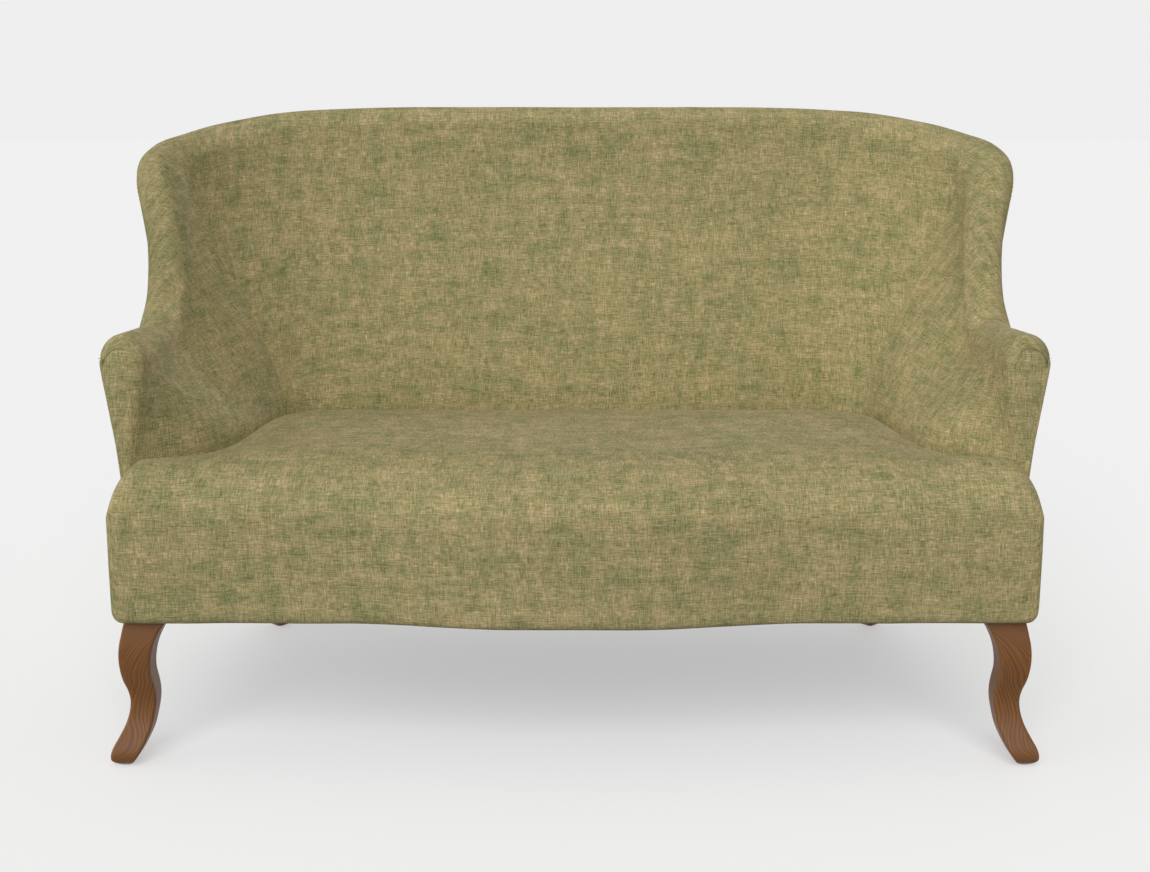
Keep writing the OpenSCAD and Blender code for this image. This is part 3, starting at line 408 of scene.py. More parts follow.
def pointValues(mesh, name):
    values = np.empty(len(mesh.vertices) * 3, np.float32)
    mesh.vertices.foreach_get(name, values)
    return values.reshape(-1, 3)


def placedAt(obj, co):
    obj.data.vertices.foreach_set("co", co.ravel())
    obj.data.update()
    return obj


def closedLoft(name, rings, material):
    # rings of points, alike in number, with both ends filled
    m, n = len(rings), len(rings[0])
    faces = [(i * n + k, i * n + (k + 1) % n, (i + 1) * n + (k + 1) % n, (i + 1) * n + k)
             for i in range(m - 1) for k in range(n)]
    faces += [tuple(range(n - 1, -1, -1)), tuple((m - 1) * n + k for k in range(n))]
    return outward(meshObject(name, np.array(rings, float).reshape(-1, 3), faces, material))


def mirroredCopy(obj, name, shift=(3.7, 1.3)):
    # the same piece for the other side, cut from another place of the cloth
    mesh = obj.data.copy()
    mesh.name = name
    mesh.transform(Matrix.Diagonal((-1, 1, 1, 1)))
    mesh.flip_normals()
    if mesh.uv_layers:
        layer = mesh.uv_layers[0]
        uv = np.empty(len(layer.data) * 2, np.float32)
        layer.data.foreach_get("uv", uv)
        uv = uv.reshape(-1, 2) * (-1, 1) + shift
        layer.data.foreach_set("uv", uv.astype(np.float32).ravel())
    return inScene(name, mesh)


def unevenness(obj, amount, size, seed, keep=None):
    # the slight waviness of cloth over stuffing
    co, no = pointValues(obj.data, "co"), pointValues(obj.data, "normal")
    for i in range(len(co)):
        p = Vector(co[i]) / size + Vector((seed, seed * 1.7, 0))
        co[i] += no[i] * amount * (noise.noise(p) + 0.4 * noise.noise(p * 2.3)) * (keep(co[i]) if keep else 1.0)
    return placedAt(obj, co)


# Shader helpers
def addNode(tree, kind, values=None, **settings):
    node = tree.nodes.new(kind)
    for key, value in settings.items():
        setattr(node, key, value)
    for key, value in (values or {}).items():
        if isinstance(value, bpy.types.NodeSocket):
            tree.links.new(value, node.inputs[key])
        else:
            node.inputs[key].default_value = value
    return node


def result(tree, kind, values=None, **settings):
    return addNode(tree, kind, values, **settings).outputs[0]


def calc(tree, operation, a, b=0.0, c=0.0, limit=False):
    return result(tree, "ShaderNodeMath", {0: a, 1: b, 2: c}, operation=operation, use_clamp=limit)


def stretched(tree, vector, sizes):
    # a vector counted in steps of the given sizes
    return result(tree, "ShaderNodeVectorMath", {0: vector, 1: [1 / s for s in sizes]}, operation="MULTIPLY")


def noiseAt(tree, vector, sizes, detail=2.0, rough=0.5):
    place = stretched(tree, vector, sizes)
    return addNode(tree, "ShaderNodeTexNoise", {
        "Vector": place, "Scale": 1.0, "Detail": detail, "Roughness": rough}).outputs["Fac"]


def added(tree, *values):
    total = values[0]
    for value in values[1:]:
        total = calc(tree, "ADD", total, value)
    return total


def objectPlace(tree):
    return addNode(tree, "ShaderNodeTexCoord").outputs["Object"]


def rampOf(tree, value, stops):
    node = addNode(tree, "ShaderNodeValToRGB", {"Fac": value})
    while len(node.color_ramp.elements) < len(stops):
        node.color_ramp.elements.new(0.5)
    for element, (at, colour) in zip(node.color_ramp.elements, stops):
        element.position = at
        element.color = (*colour, 1.0)
    return node.outputs["Color"]


def mixColours(tree, share, a, b, blend="MIX"):
    node = addNode(tree, "ShaderNodeMix", {"Factor": share}, data_type="RGBA", blend_type=blend)
    for socket, value in ((node.inputs[6], a), (node.inputs[7], b)):
        if isinstance(value, bpy.types.NodeSocket):
            tree.links.new(value, socket)
        else:
            socket.default_value = (*value, 1.0)
    return node.outputs[2]


def linear(r, g, b):
    # a colour as seen on a screen, turned to light
    return tuple((v / 255 / 12.92) if v <= 10.3 else ((v / 255 + 0.055) / 1.055) ** 2.4 for v in (r, g, b))


def openTree(kind, name, inputs, outputs):
    # the sockets by name, each with its kind or, for a number, its usual value
    tree = bpy.data.node_groups.new(name, kind)
    for side, sockets in (("INPUT", inputs), ("OUTPUT", outputs)):
        for label, given in sockets.items():
            plain = not isinstance(given, str)
            socket = tree.interface.new_socket(
                name=label, in_out=side, socket_type="NodeSocket" + ("Float" if plain else given))
            if plain:
                socket.default_value = given
    return tree, addNode(tree, "NodeGroupInput").outputs, addNode(tree, "NodeGroupOutput")


def newMaterial(name, rough, specular=0.5, **plain):
    material = bpy.data.materials.new(name)
    material.use_nodes = True
    tree = material.node_tree
    shader = tree.nodes["Principled BSDF"]
    shader.inputs["Roughness"].default_value = rough
    shader.inputs["Specular IOR Level"].default_value = specular
    for key, value in plain.items():
        shader.inputs[key].default_value = value
    return material, tree, shader


def dress(tree, shader, colour, height, distance, rough=None):
    bump = addNode(tree, "ShaderNodeBump", {"Height": height, "Distance": distance}).outputs["Normal"]
    for label, value in (("Base Color", colour), ("Roughness", rough), ("Normal", bump)):
        if value is not None:
            tree.links.new(value, shader.inputs[label])


# Woven cloth: each layer's size across, up and deep, its detail and roughness, and how much it counts
weaveLayers = {
    "clouds": ((0.10, 0.10, 0.08), 3.0, 0.55, 0.65),
    "widePatches": ((0.080, 0.017, 1.0), 3.0, 0.6, 1.3),
    "tallPatches": ((0.020, 0.075, 1.0), 3.0, 0.6, 1.2),
    "weftSlubs": ((0.022, 0.0024, 1.0), 2.0, 0.6, 1.3),
    "warpSlubs": ((0.0024, 0.022, 1.0), 2.0, 0.6, 1.3),
    "grain": ((0.0022, 0.0022, 1.0), 2.0, 0.7, 0.6),
    "weftThreads": ((0.012, 0.0013, 1.0), 2.0, 0.6, 1.35),
    "warpThreads": ((0.0013, 0.012, 1.0), 2.0, 0.6, 1.35),
    "thickWefts": ((0.035, 0.0030, 1.0), 1.0, 0.5, 0.5),
    "thickWarps": ((0.0030, 0.035, 1.0), 1.0, 0.5, 0.5),
}
weaveRelief = {"knots": 0.35, "slubs": 0.8, "knotPaintedShade": 0.05, "paleFrom": 0.62, "pale": 1.6}


def makeWeaveGroup():
    tree, given, out = openTree(
        "ShaderNodeTree", "wovenCloth",
        {"Cloth": "Vector", "Place": "Vector", "Thread": 0.0011, "Patches": 1.0, "Slubs": 1.0, "Grain": 1.0},
        {"Share": "Float", "Shade": "Float", "Height": "Float"})
    cloth = given["Cloth"]
    raw, layer = {}, {}
    for name, (sizes, detail, rough, weight) in weaveLayers.items():
        raw[name] = noiseAt(tree, given["Place"] if name == "clouds" else cloth, sizes, detail, rough)
        layer[name] = calc(tree, "MULTIPLY", calc(tree, "SUBTRACT", raw[name], 0.5), weight)

    def weighed(label, *names):
        return calc(tree, "MULTIPLY", added(tree, *[layer[name] for name in names]), given[label])

    patches = weighed("Patches", "clouds", "widePatches", "tallPatches")
    slubs = weighed("Slubs", "weftSlubs", "warpSlubs")
    share = calc(tree, "ADD", added(tree, patches, slubs, weighed("Grain", "grain")), 0.5, limit=True)
    tree.links.new(share, out.inputs["Share"])

    parts = addNode(tree, "ShaderNodeSeparateXYZ", {0: cloth}).outputs
    turn = calc(tree, "DIVIDE", math.pi, given["Thread"])
    over, under = [calc(tree, "SINE", calc(tree, "MULTIPLY", parts[i], turn)) for i in (0, 1)]
    knots = calc(tree, "MULTIPLY", over, under)
    rise = calc(tree, "MULTIPLY", added(tree, raw["weftSlubs"], raw["warpSlubs"]), weaveRelief["slubs"])
    tree.links.new(calc(tree, "MULTIPLY_ADD", knots, weaveRelief["knots"], rise), out.inputs["Height"])

    highest = calc(tree, "MAXIMUM", raw["warpThreads"], raw["weftThreads"])
    pale = calc(tree, "MULTIPLY", calc(tree, "MAXIMUM", calc(
        tree, "SUBTRACT", highest, weaveRelief["paleFrom"]), 0.0), weaveRelief["pale"])
    threads = weighed("Grain", "warpThreads", "weftThreads")
    # the knots brighten the raised crossings and darken the hollows between them, in the same pattern that
    # raises the bump: painted shade of the weave's relief; the threads, pale flecks and thick threads are the
    # cloth's own tone
    shade = added(tree, calc(tree, "MULTIPLY_ADD", knots, weaveRelief["knotPaintedShade"], 1.0), threads, pale,
                  layer["thickWarps"], layer["thickWefts"])
    tree.links.new(shade, out.inputs["Shade"])
    return tree


weaveGroup = makeWeaveGroup()
coverLook = {
    "green": linear(126, 130, 85), "tan": linear(184, 164, 120), "thread": 0.0012, "pale": 1.45, "rough": 0.86,
    "smoothKnots": 0.06, "roughHollows": 0.05, "bump": 0.0006, "specular": 0.09, "sheen": 0.03,
    "sheenRough": 0.6,
}


def makeCoverFabric():
    material, tree, shader = newMaterial("coverFabric", coverLook["rough"], coverLook["specular"], **{
        "Sheen Weight": coverLook["sheen"], "Sheen Roughness": coverLook["sheenRough"]})
    cloth = addNode(tree, "ShaderNodeUVMap", uv_map="weave").outputs["UV"]
    given = {"Cloth": cloth, "Place": objectPlace(tree), "Thread": coverLook["thread"]}
    weave = addNode(tree, "ShaderNodeGroup", given, node_tree=weaveGroup).outputs
    colour = mixColours(tree, weave["Share"], coverLook["green"], coverLook["tan"])
    # the pale threads are nearly white, so blue changes more than red and green do
    paler = calc(tree, "MULTIPLY_ADD", weave["Shade"], coverLook["pale"], 1 - coverLook["pale"])
    shade = result(tree, "ShaderNodeCombineColor", {0: weave["Shade"], 1: weave["Shade"], 2: paler})
    rough = calc(tree, "MULTIPLY_ADD", weave["Height"], -coverLook["smoothKnots"],
                 coverLook["rough"] + coverLook["roughHollows"])
    colour = mixColours(tree, 1.0, colour, shade, "MULTIPLY")
    dress(tree, shader, colour, weave["Height"], coverLook["bump"], rough)
    return material


# Wood: long fibres, growth rings, and paler worn edges
figure = {"driftSize": (0.05, 0.05, 0.30), "drift": 0.03, "slant": 0.55, "ringRise": 0.2, "fibreRise": 0.8,
          "ringShare": 0.35, "fibreShare": 1.3, "less": 0.35, "fibreRough": 0.18, "worn": 0.55,
          "wornScale": 60.0}


def makeGrainGroup():
    tree, given, out = openTree(
        "ShaderNodeTree", "woodGrain", {"Along": "Vector", "Ring": 0.006, "Fibre": 0.0008, "Length": 0.06},
        {"Rings": "Float", "Fibres": "Float", "Height": "Float"})
    drift = noiseAt(tree, given["Along"], figure["driftSize"])
    parts = addNode(tree, "ShaderNodeSeparateXYZ", {0: given["Along"]}).outputs
    shifted = added(tree, parts[0], calc(tree, "MULTIPLY", parts[1], figure["slant"]),
                    calc(tree, "MULTIPLY", drift, figure["drift"]))
    turn = calc(tree, "MULTIPLY", calc(tree, "DIVIDE", shifted, given["Ring"]), 2 * math.pi)
    rings = calc(tree, "MULTIPLY_ADD", calc(tree, "SINE", turn), 0.5, 0.5)
    step = result(tree, "ShaderNodeCombineXYZ", {
        k: calc(tree, "DIVIDE", parts[k], given[size]) for k, size in enumerate(("Fibre", "Fibre", "Length"))})
    fibres = noiseAt(tree, step, (1.0, 1.0, 1.0))
    height = calc(tree, "MULTIPLY_ADD", fibres, figure["fibreRise"], calc(
        tree, "MULTIPLY", rings, figure["ringRise"]))
    for label, value in (("Rings", rings), ("Fibres", fibres), ("Height", height)):
        tree.links.new(value, out.inputs[label])
    return tree


grainGroup = makeGrainGroup()
woodLooks = {
    "showWood": {"dark": linear(78, 46, 19), "light": linear(136, 90, 46), "ring": 0.0065, "fibre": 0.0010,
                 "length": 0.070, "rough": 0.45, "bump": 0.0002, "coat": 0.05},
    "beech": {"dark": linear(188, 150, 106), "light": linear(222, 190, 146), "ring": 0.016, "fibre": 0.0012,
              "length": 0.040, "rough": 0.62, "bump": 0.0003, "coat": 0.0},
}


def makeWood(name, look, turn=None):
    # turn brings the length of the timber onto Z; without it the piece's own lengths are read
    material, tree, shader = newMaterial(name, look["rough"], 0.25, **{
        "Coat Weight": look["coat"], "Coat Roughness": 0.3})
    if turn is None:
        uv = addNode(tree, "ShaderNodeUVMap", uv_map="weave").outputs["UV"]
        parts = addNode(tree, "ShaderNodeSeparateXYZ", {0: uv}).outputs
        along = result(tree, "ShaderNodeCombineXYZ", {0: parts[0], 2: parts[1]})
    else:
        along = result(tree, "ShaderNodeMapping", {"Vector": objectPlace(tree), "Rotation": turn})
    grain = addNode(tree, "ShaderNodeGroup", {"Along": along, "Ring": look["ring"], "Fibre": look["fibre"],
                                              "Length": look["length"]}, node_tree=grainGroup)
    return material, tree, shader, grain


def finishWood(material, tree, shader, grain, look, worn=None):
    share = calc(tree, "ADD", calc(tree, "MULTIPLY", grain.outputs["Rings"], figure["ringShare"]), calc(
        tree, "MULTIPLY_ADD", grain.outputs["Fibres"], figure["fibreShare"], -figure["less"]), limit=True)
    colour = mixColours(tree, share, look["dark"], look["light"])
    if worn is not None:
        colour = mixColours(tree, worn, colour, look["light"])
    rough = calc(tree, "MULTIPLY_ADD", grain.outputs["Fibres"], figure["fibreRough"],
                 look["rough"] - figure["fibreRough"] / 2)
    dress(tree, shader, colour, grain.outputs["Height"], look["bump"], rough)
    return material


def makePlainFinishes():
    made = {}
    quarter = math.pi / 2
    turns = {"beechUp": (0, 0, 0), "beechAcross": (0, -quarter, 0), "beechBack": (quarter, 0, 0)}
    for name, turn in turns.items():
        made[name] = finishWood(*makeWood(name, woodLooks["beech"], turn), woodLooks["beech"])

    material, tree, shader, grain = makeWood("showWood", woodLooks["showWood"])
    edge = addNode(tree, "ShaderNodeAttribute", attribute_name="edge", attribute_type="GEOMETRY").outputs["Fac"]
    patchy = addNode(tree, "ShaderNodeTexNoise", {
        "Vector": objectPlace(tree), "Scale": figure["wornScale"], "Detail": 3.0}).outputs["Fac"]
    worn = calc(tree, "MULTIPLY", edge, calc(tree, "MULTIPLY", patchy, figure["worn"]), limit=True)
    made["showWood"] = finishWood(material, tree, shader, grain, woodLooks["showWood"], worn)

    material, tree, shader = newMaterial("foam", 0.9, 0.2)
    place = objectPlace(tree)
    cells = addNode(tree, "ShaderNodeTexVoronoi", {"Vector": place, "Scale": 420.0}).outputs["Distance"]
    tone = noiseAt(tree, place, (0.05, 0.05, 0.05), 3.0)
    mix = calc(tree, "ADD", calc(tree, "MULTIPLY", cells, 0.6), calc(tree, "MULTIPLY", tone, 0.5), limit=True)
    colour = rampOf(tree, mix, [(0.2, linear(206, 192, 140)), (0.8, linear(238, 230, 196))])
    dress(tree, shader, colour, cells, 0.0008)
    made["foam"] = material

    for name, dark, light, thread, rough in (
            ("hessian", linear(132, 104, 66), linear(184, 156, 108), 0.0022, 0.92),
            ("webbing", linear(34, 32, 30), linear(74, 70, 66), 0.0016, 0.85),
            ("dustCloth", linear(26, 26, 29), linear(48, 48, 52), 0.0014, 0.9)):
        material, tree, shader = newMaterial(name, rough, 0.2)
        place = objectPlace(tree)
        flat = place if name == "dustCloth" else result(
            tree, "ShaderNodeMapping", {"Vector": place, "Rotation": (quarter, 0, 0)})
        given = {"Cloth": flat, "Place": place, "Thread": thread, "Patches": 0.4, "Slubs": 0.9}
        weave = addNode(tree, "ShaderNodeGroup", given, node_tree=weaveGroup).outputs
        dress(tree, shader, mixColours(tree, weave["Share"], dark, light), weave["Height"], 0.0006)
        made[name] = material

    for name, dark, light, rough in (("springSteel", (0.10, 0.10, 0.11), (0.26, 0.26, 0.27), 0.38),
                                     ("zincSteel", (0.42, 0.42, 0.42), (0.66, 0.66, 0.64), 0.32)):
        material, tree, shader = newMaterial(name, rough, 0.5, Metallic=1.0)
        spots = noiseAt(tree, objectPlace(tree), (0.004, 0.004, 0.012), 3.0, 0.6)
        dress(tree, shader, rampOf(tree, spots, [(0.3, dark), (0.7, light)]), spots, 0.0002,
              calc(tree, "MULTIPLY_ADD", spots, 0.3, rough - 0.12))
        made[name] = material

    material, tree, shader = newMaterial("sewingThread", 0.7, 0.3)
    twist = noiseAt(tree, objectPlace(tree), (0.0008, 0.0008, 0.0008), 1.0)
    dress(tree, shader, rampOf(tree, twist, [(0.3, linear(112, 108, 72)), (0.7, linear(150, 140, 100))]),
          twist, 0.0002)
    made["sewingThread"] = material
    return made


finishes = makePlainFinishes()
finishes["coverFabric"] = makeCoverFabric()
print("materials made")


def standsFor(obj, slotName, *nodeNames):
    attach(obj, "root")
    if nodeNames:
        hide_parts(*nodeNames)
    return obj


# The inside of the tub: arms, wings and back as one run of cloth, cut into its three covers at the seams
inside = {
    "columnStep": 0.125, "seamAt": 10.0, "noseColumns": 8, "lowNose": 0.013,
    "highNose": 0.024, "waves": 0.0006, "waveSize": 0.11, "waveStart": 0.01, "waveOver": 0.06, "swell": 0.004,
    "foldInset": 0.0075, "foldDepth": 0.0026, "foldFrom": 0.55, "foldOver": 0.75,
    "foldShares": (1.0, 0.45, 0.12), "crestLift": 0.0040, "crestLiftAt": 11.2, "crestLiftOver": 1.6,
    "crestLiftDeep": 0.1,
}
# where stretched cloth bridges the hollow of wing and back: among the sections and among the rows of points
bridge = {"rounds": 120, "across": (4.5, 2.5, 13.5, 1.5), "up": (8, 8, 42, 9)}
# each cover is cut from its own place of the cloth
clothStarts = {"insideArmCoverRight": 0.0, "insideBackCover": 7.0, "outsideArmCoverRight": 11.0,
               "outsideBackCover": 15.0, "seatCover": 21.0}
frontTilt = {"slope": 0.08, "start": 0.63, "over": 0.06, "low": 0.42, "high": 0.50}
frontY = tub["armSet"] - tub["armNose"]
firstSection = Section(0)
frontRoll = (firstSection.run, firstSection.rollZ)


def noseRadius(z):
    # how large the arm front rounds into its inner face, at each height
    t = np.clip((z - tub["seatHeight"]) / (firstSection.rollZ - tub["seatHeight"]), 0, 1)
    return lerp(inside["lowNose"], inside["highNose"], t)


def foldShare(p):
    # where the cloth is folded over the roll at the arm front: nothing on the inner side, whole over the top
    turn = np.arctan2(p[:, 1] - frontRoll[1], frontRoll[0] - p[:, 0])
    turn = np.where((turn < 0) & (p[:, 0] > frontRoll[0]), math.pi, turn)
    t = np.clip((turn - inside["foldFrom"]) / inside["foldOver"], 0, 1)
    return (1 - np.cos(math.pi * t)) / 2


def insideColumn(u):
    section = Section(u)
    line = np.array(section.innerLine())
    lifted = ease(1 - abs(min(u, 2 * middle - u) - inside["crestLiftAt"]) / inside["crestLiftOver"])
    deep = inside["crestLiftDeep"]
    line[:, 1] += inside["crestLift"] * lifted * np.clip((line[:, 1] - section.rollZ + deep) / deep, 0, 1)
    radius = noseRadius(line[:, 1])
    near = np.clip(radius - (section.foot[1] - frontY), 0, None)
    line = movedLine(line, radius - np.sqrt(radius ** 2 - near ** 2))
    return [section.place(p) for p in line]


# The arm front is drawn in the plane of the first section
frontLine = np.array(firstSection.innerLine())
frontRadius = noseRadius(frontLine[:, 1])
foldAt = foldShare(frontLine)
jointDepth = lerp(frontRadius, inside["foldInset"], foldAt)
jointLine = movedLine(frontLine, jointDepth)
jointTurn = np.arccos(1 - jointDepth / frontRadius)
firstTurn = np.arcsin(1 - tub["armNose"] / frontRadius)


def noseColumn(share):
    turn = lerp(jointTurn, np.maximum(firstTurn, 0), share)
    line = movedLine(frontLine, frontRadius * (1 - np.cos(turn)))
    forward = frontRadius * (1 - np.sin(turn)) - tub["armNose"]
    return [firstSection.place((p[0], max(p[1], tuckZ)), f) for p, f in zip(line, forward)]


def frontDepth(p):
    # how far forward the arm front lies at points of the plane of the first section
    start, along = frontLine[:-1], np.diff(frontLine, axis=0)
    t = np.clip(((p[:, None] - start) * along).sum(2) / (along ** 2).sum(1), 0, 1)
    away = np.linalg.norm(p[:, None] - start - t[:, :, None] * along, axis=2).min(1)
    radius = noseRadius(p[:, 1])
    turn = np.arccos(1 - np.minimum(away / radius, 1))
    return away, radius, radius * (1 - np.sin(turn)) - tub["armNose"]


def turnedOut(grid):
    # the arm fronts look a little outwards: what lies near the front goes back the more, the further out it is
    near = np.clip(1 - (grid[..., 1] + midY - frontY) / frontTilt["over"], 0, 1)
    high = np.clip((grid[..., 2] - frontTilt["low"]) / (frontTilt["high"] - frontTilt["low"]), 0, 1)
    out = np.clip(np.abs(grid[..., 0]) - frontTilt["start"], 0, None)
    grid[..., 1] += frontTilt["slope"] * out * near * near * (3 - 2 * near) * high
    return grid


def between(value, start, growing, end, fading):
    return ease((value - start) / growing) * ease((end - value) / fading)


def filledCorners(grid, us):
    along = np.array([between(u, *bridge["across"]) for u in np.minimum(us, 2 * middle - us)])
    up = np.array([between(k, *bridge["up"]) for k in range(grid.shape[1])])
    share = (along[:, None] * up[None])[1:-1, :, None]
    for _ in range(bridge["rounds"]):
        grid[1:-1] += share * (grid[:-2] + grid[2:] - 2 * grid[1:-1]) / 4
    return grid


def makeInsideCovers():
    count = inside["noseColumns"]
    us = np.array(places(0, 2 * middle, inside["columnStep"]))
    whole = filledCorners(np.array([insideColumn(u) for u in us]), us)
    seam = round(inside["seamAt"] / inside["columnStep"])
    arm = turnedOut(np.concatenate([[noseColumn(k / count) for k in range(count)], whole[:seam + 1]]))
    back = whole[seam:len(us) - seam]
    made = {}
    for name, grid, sides, node, pad in (
            ("insideArmCoverRight", arm, ("first", "high"), "inside_arm_cover_right", "armFoamRight"),
            ("insideBackCover", back, ("first", "last", "high"), "inside_back_cover", "backFoam")):
        # the columns run the other way here, so that the faces look at the sitter
        grid = stuffed(grid[::-1], inside["swell"])
        noteCover("inside", grid)
        normals = gridNormals(grid)
        if name == "insideArmCoverRight":
            for column, share in zip((-1, -2, -3), inside["foldShares"]):
                grid[column] -= normals[column] * (share * inside["foldDepth"] * foldAt)[:, None]
        grid = rolledEdges(grid, -normals, sides)
        last = len(grid) - 1
        firstColumn = last // 2 if name == "insideBackCover" else last
        uv = clothCoordinates(grid, firstColumn, lineRows["tuck"], clothStarts[name])
        piece = coverPiece(name, grid, uv)
        unevenness(piece, inside["waves"], inside["waveSize"], 3.1,
                   lambda p: clamp((p[1] + midY - frontY - inside["waveStart"]) / inside["waveOver"]))
        asSheet(standsFor(piece, "cover_fabric", node), grid)
        made[name] = piece, uv
    right, uv = made["insideArmCoverRight"]
    left = mirroredCopy(right, "insideArmCoverLeft")
    asSheet(standsFor(left, "cover_fabric", "inside_arm_cover_left"), arm)
    return uv[-1, :, 1]


frontRise = makeInsideCovers()
print("inside covers made")


# The arm facings fill the arm fronts between the inside and the outside cover
facing = {"strip": 0.0035, "stripRows": 24, "seamGap": 0.0005, "rows": 60, "columns": 26,
          "leftTurn": 9, "rightTurn": 19, "crown": 0.0022, "crownOver": 0.012, "crownSide": 0.016,
          "foldRise": 1.1, "foldWidth": 0.0022}


def resampled(line, count):
    p = np.array(line, float)
    s = lengthsAlong(p, 0)
    t = np.linspace(0, s[-1], count)
    return np.stack([np.interp(t, s, p[:, i]) for i in range(p.shape[1])], axis=1)


def makeFacings():
    leftTop, rightTop = rollStart + facing["leftTurn"], rollStart + facing["rightTurn"]
    seamZ = firstSection.rollZ - firstSection.drop
    strip = [(firstSection.outer(z) - facing["strip"], z)
             for z in np.linspace(tuckZ, seamZ - facing["seamGap"], facing["stripRows"])]
    left = resampled(np.maximum(jointLine[:leftTop + 1], (-1, tuckZ)), facing["rows"])
    right = resampled(strip + jointLine[:rightTop - 1:-1].tolist(), facing["rows"])
    low = resampled([left[0], right[0]], facing["columns"])
    high = resampled(jointLine[leftTop:rightTop + 1], facing["columns"])
    t = np.linspace(0, 1, facing["columns"])[:, None, None]
    s = np.linspace(0, 1, facing["rows"])[None, :, None]
    flat = ((1 - t) * left[None] + t * right[None] + (1 - s) * low[:, None] + s * high[:, None]
            - (1 - t) * ((1 - s) * left[0] + s * left[-1]) - t * ((1 - s) * right[0] + s * right[-1]))
    p = flat.reshape(-1, 2)
    away, radius, forward = frontDepth(p)
    outerX = np.array([firstSection.outer(z) for z in p[:, 1]])
    crown = 1 - np.exp(-np.maximum(away - radius, 0) / facing["crownOver"])
    forward -= facing["crown"] * crown * np.clip((outerX - p[:, 0]) / facing["crownSide"], 0, 1)
    fold = np.exp(-np.abs(away - inside["foldInset"]) / facing["foldWidth"])
    forward += inside["foldDepth"] * facing["foldRise"] * foldShare(p) * fold
    grid = np.array([firstSection.place(q, f) for q, f in zip(p, forward)])
    grid = turnedOut(grid.reshape(*flat.shape[:2], 3))
    noteCover("front", grid)
    rising = jointLine[:rollStart + 1]
    across = p[:, 0] - np.interp(p[:, 1], rising[:, 1], rising[:, 0])
    rise = np.interp(p[:, 1], rising[:, 1], frontRise[:rollStart + 1])
    rise += np.maximum(p[:, 1] - rising[-1, 1], 0)
    uv = np.stack([across, rise], axis=1).reshape(*flat.shape[:2], 2)
    piece = coverPiece("armFacingRight", grid, uv)
    asSheet(standsFor(piece, "cover_fabric", "arm_facing_right"), grid)
    other = standsFor(mirroredCopy(piece, "armFacingLeft"), "cover_fabric", "arm_facing_left")
    asSheet(other, grid)


makeFacings()
print("facings made")


# The outside of the arms and back
outside = {
    "columnStep": 0.125, "seamAt": 11.5, "rows": 34, "hem": 0.010, "hemDrop": 0.0012,
    "tuckIn": 0.0026, "tuckUp": 0.005, "strip": 0.0050, "lap": 0.0012, "lapFrom": -0.0045, "turnIn": 0.0014,
    "turnBack": 0.0026, "turnTo": -0.0012, "clearUnder": 0.04, "clearGap": 0.001, "edgeDepth": 0.0018,
    "swell": 0.002, "pressure": 3.0, "hold": 0.2, "waves": 0.0007, "waveSize": 0.14,
}


def outsideLine(section):
    # from just inside the roll down to the hem, which turns under
    line = section.outerLine(outside["rows"])
    top, low = line[0], line[-1]
    return np.array([(top[0] - outside["tuckIn"], top[1] + outside["tuckUp"])] + line
                    + [(low[0] - outside["hem"], low[1] - outside["hemDrop"])])


def outsideColumn(section, forward=0.0, inset=0.0):
    line = outsideLine(section)
    forward = np.broadcast_to(forward, len(line))
    return [section.place((p[0] - inset, p[1]), f) for p, f in zip(line, forward)]


def makeOutsideCovers():
    # the front edge laps over the facing; below the seat it stands back, clear of the seat end
    line = outsideLine(firstSection)
    depth = np.minimum(frontDepth(line - (outside["strip"], 0))[2] - outside["lap"], outside["lapFrom"])
    low = tuckZ - outside["clearUnder"]
    back = np.clip((low - line[:, 1]) / (low - tub["legHeight"]), 0, 1) * (tub["armNose"] - outside["clearGap"])
    turned = np.minimum(depth + outside["turnBack"] + back * 0.7, outside["turnTo"])
    front = [outsideColumn(firstSection, depth + back * 0.75, outside["strip"]),
             outsideColumn(firstSection, depth + back * 0.8, outside["turnIn"]),
             outsideColumn(firstSection, turned)]

    def columns(start, end):
        return [outsideColumn(Section(u)) for u in places(start, end, outside["columnStep"])]

    arm = turnedOut(np.array(front + columns(0, outside["seamAt"])))
    back = np.array(columns(outside["seamAt"], 2 * middle - outside["seamAt"]))
    made = {}
    for name, grid, node, rests in (
            ("outsideArmCoverRight", arm, "outside_arm_cover_right", ["arm_rail_right", "side_rail_right"]),
            ("outsideBackCover", back, "outside_back_cover", ["top_rail", "rear_rail"])):
        if float((gridNormals(grid) * (grid - (0, 0, 0.6))).sum()) < 0:
            grid = grid[::-1]
        grid = stuffed(grid, outside["swell"], outside["pressure"], outside["hold"])
        grid = rolledEdges(grid, -gridNormals(grid), ("first", "last", "low"), outside["edgeDepth"])
        uv = clothCoordinates(grid, grid.shape[0] // 2, 0, clothStarts[name])
        piece = coverPiece(name, grid, uv)
        unevenness(piece, outside["waves"], outside["waveSize"], 8.3)
        made[name] = asSheet(standsFor(piece, "cover_fabric", node), grid)
    left = mirroredCopy(made["outsideArmCoverRight"], "outsideArmCoverLeft")
    asSheet(standsFor(left, "cover_fabric", "outside_arm_cover_left"), arm)


makeOutsideCovers()
print("outside covers made")


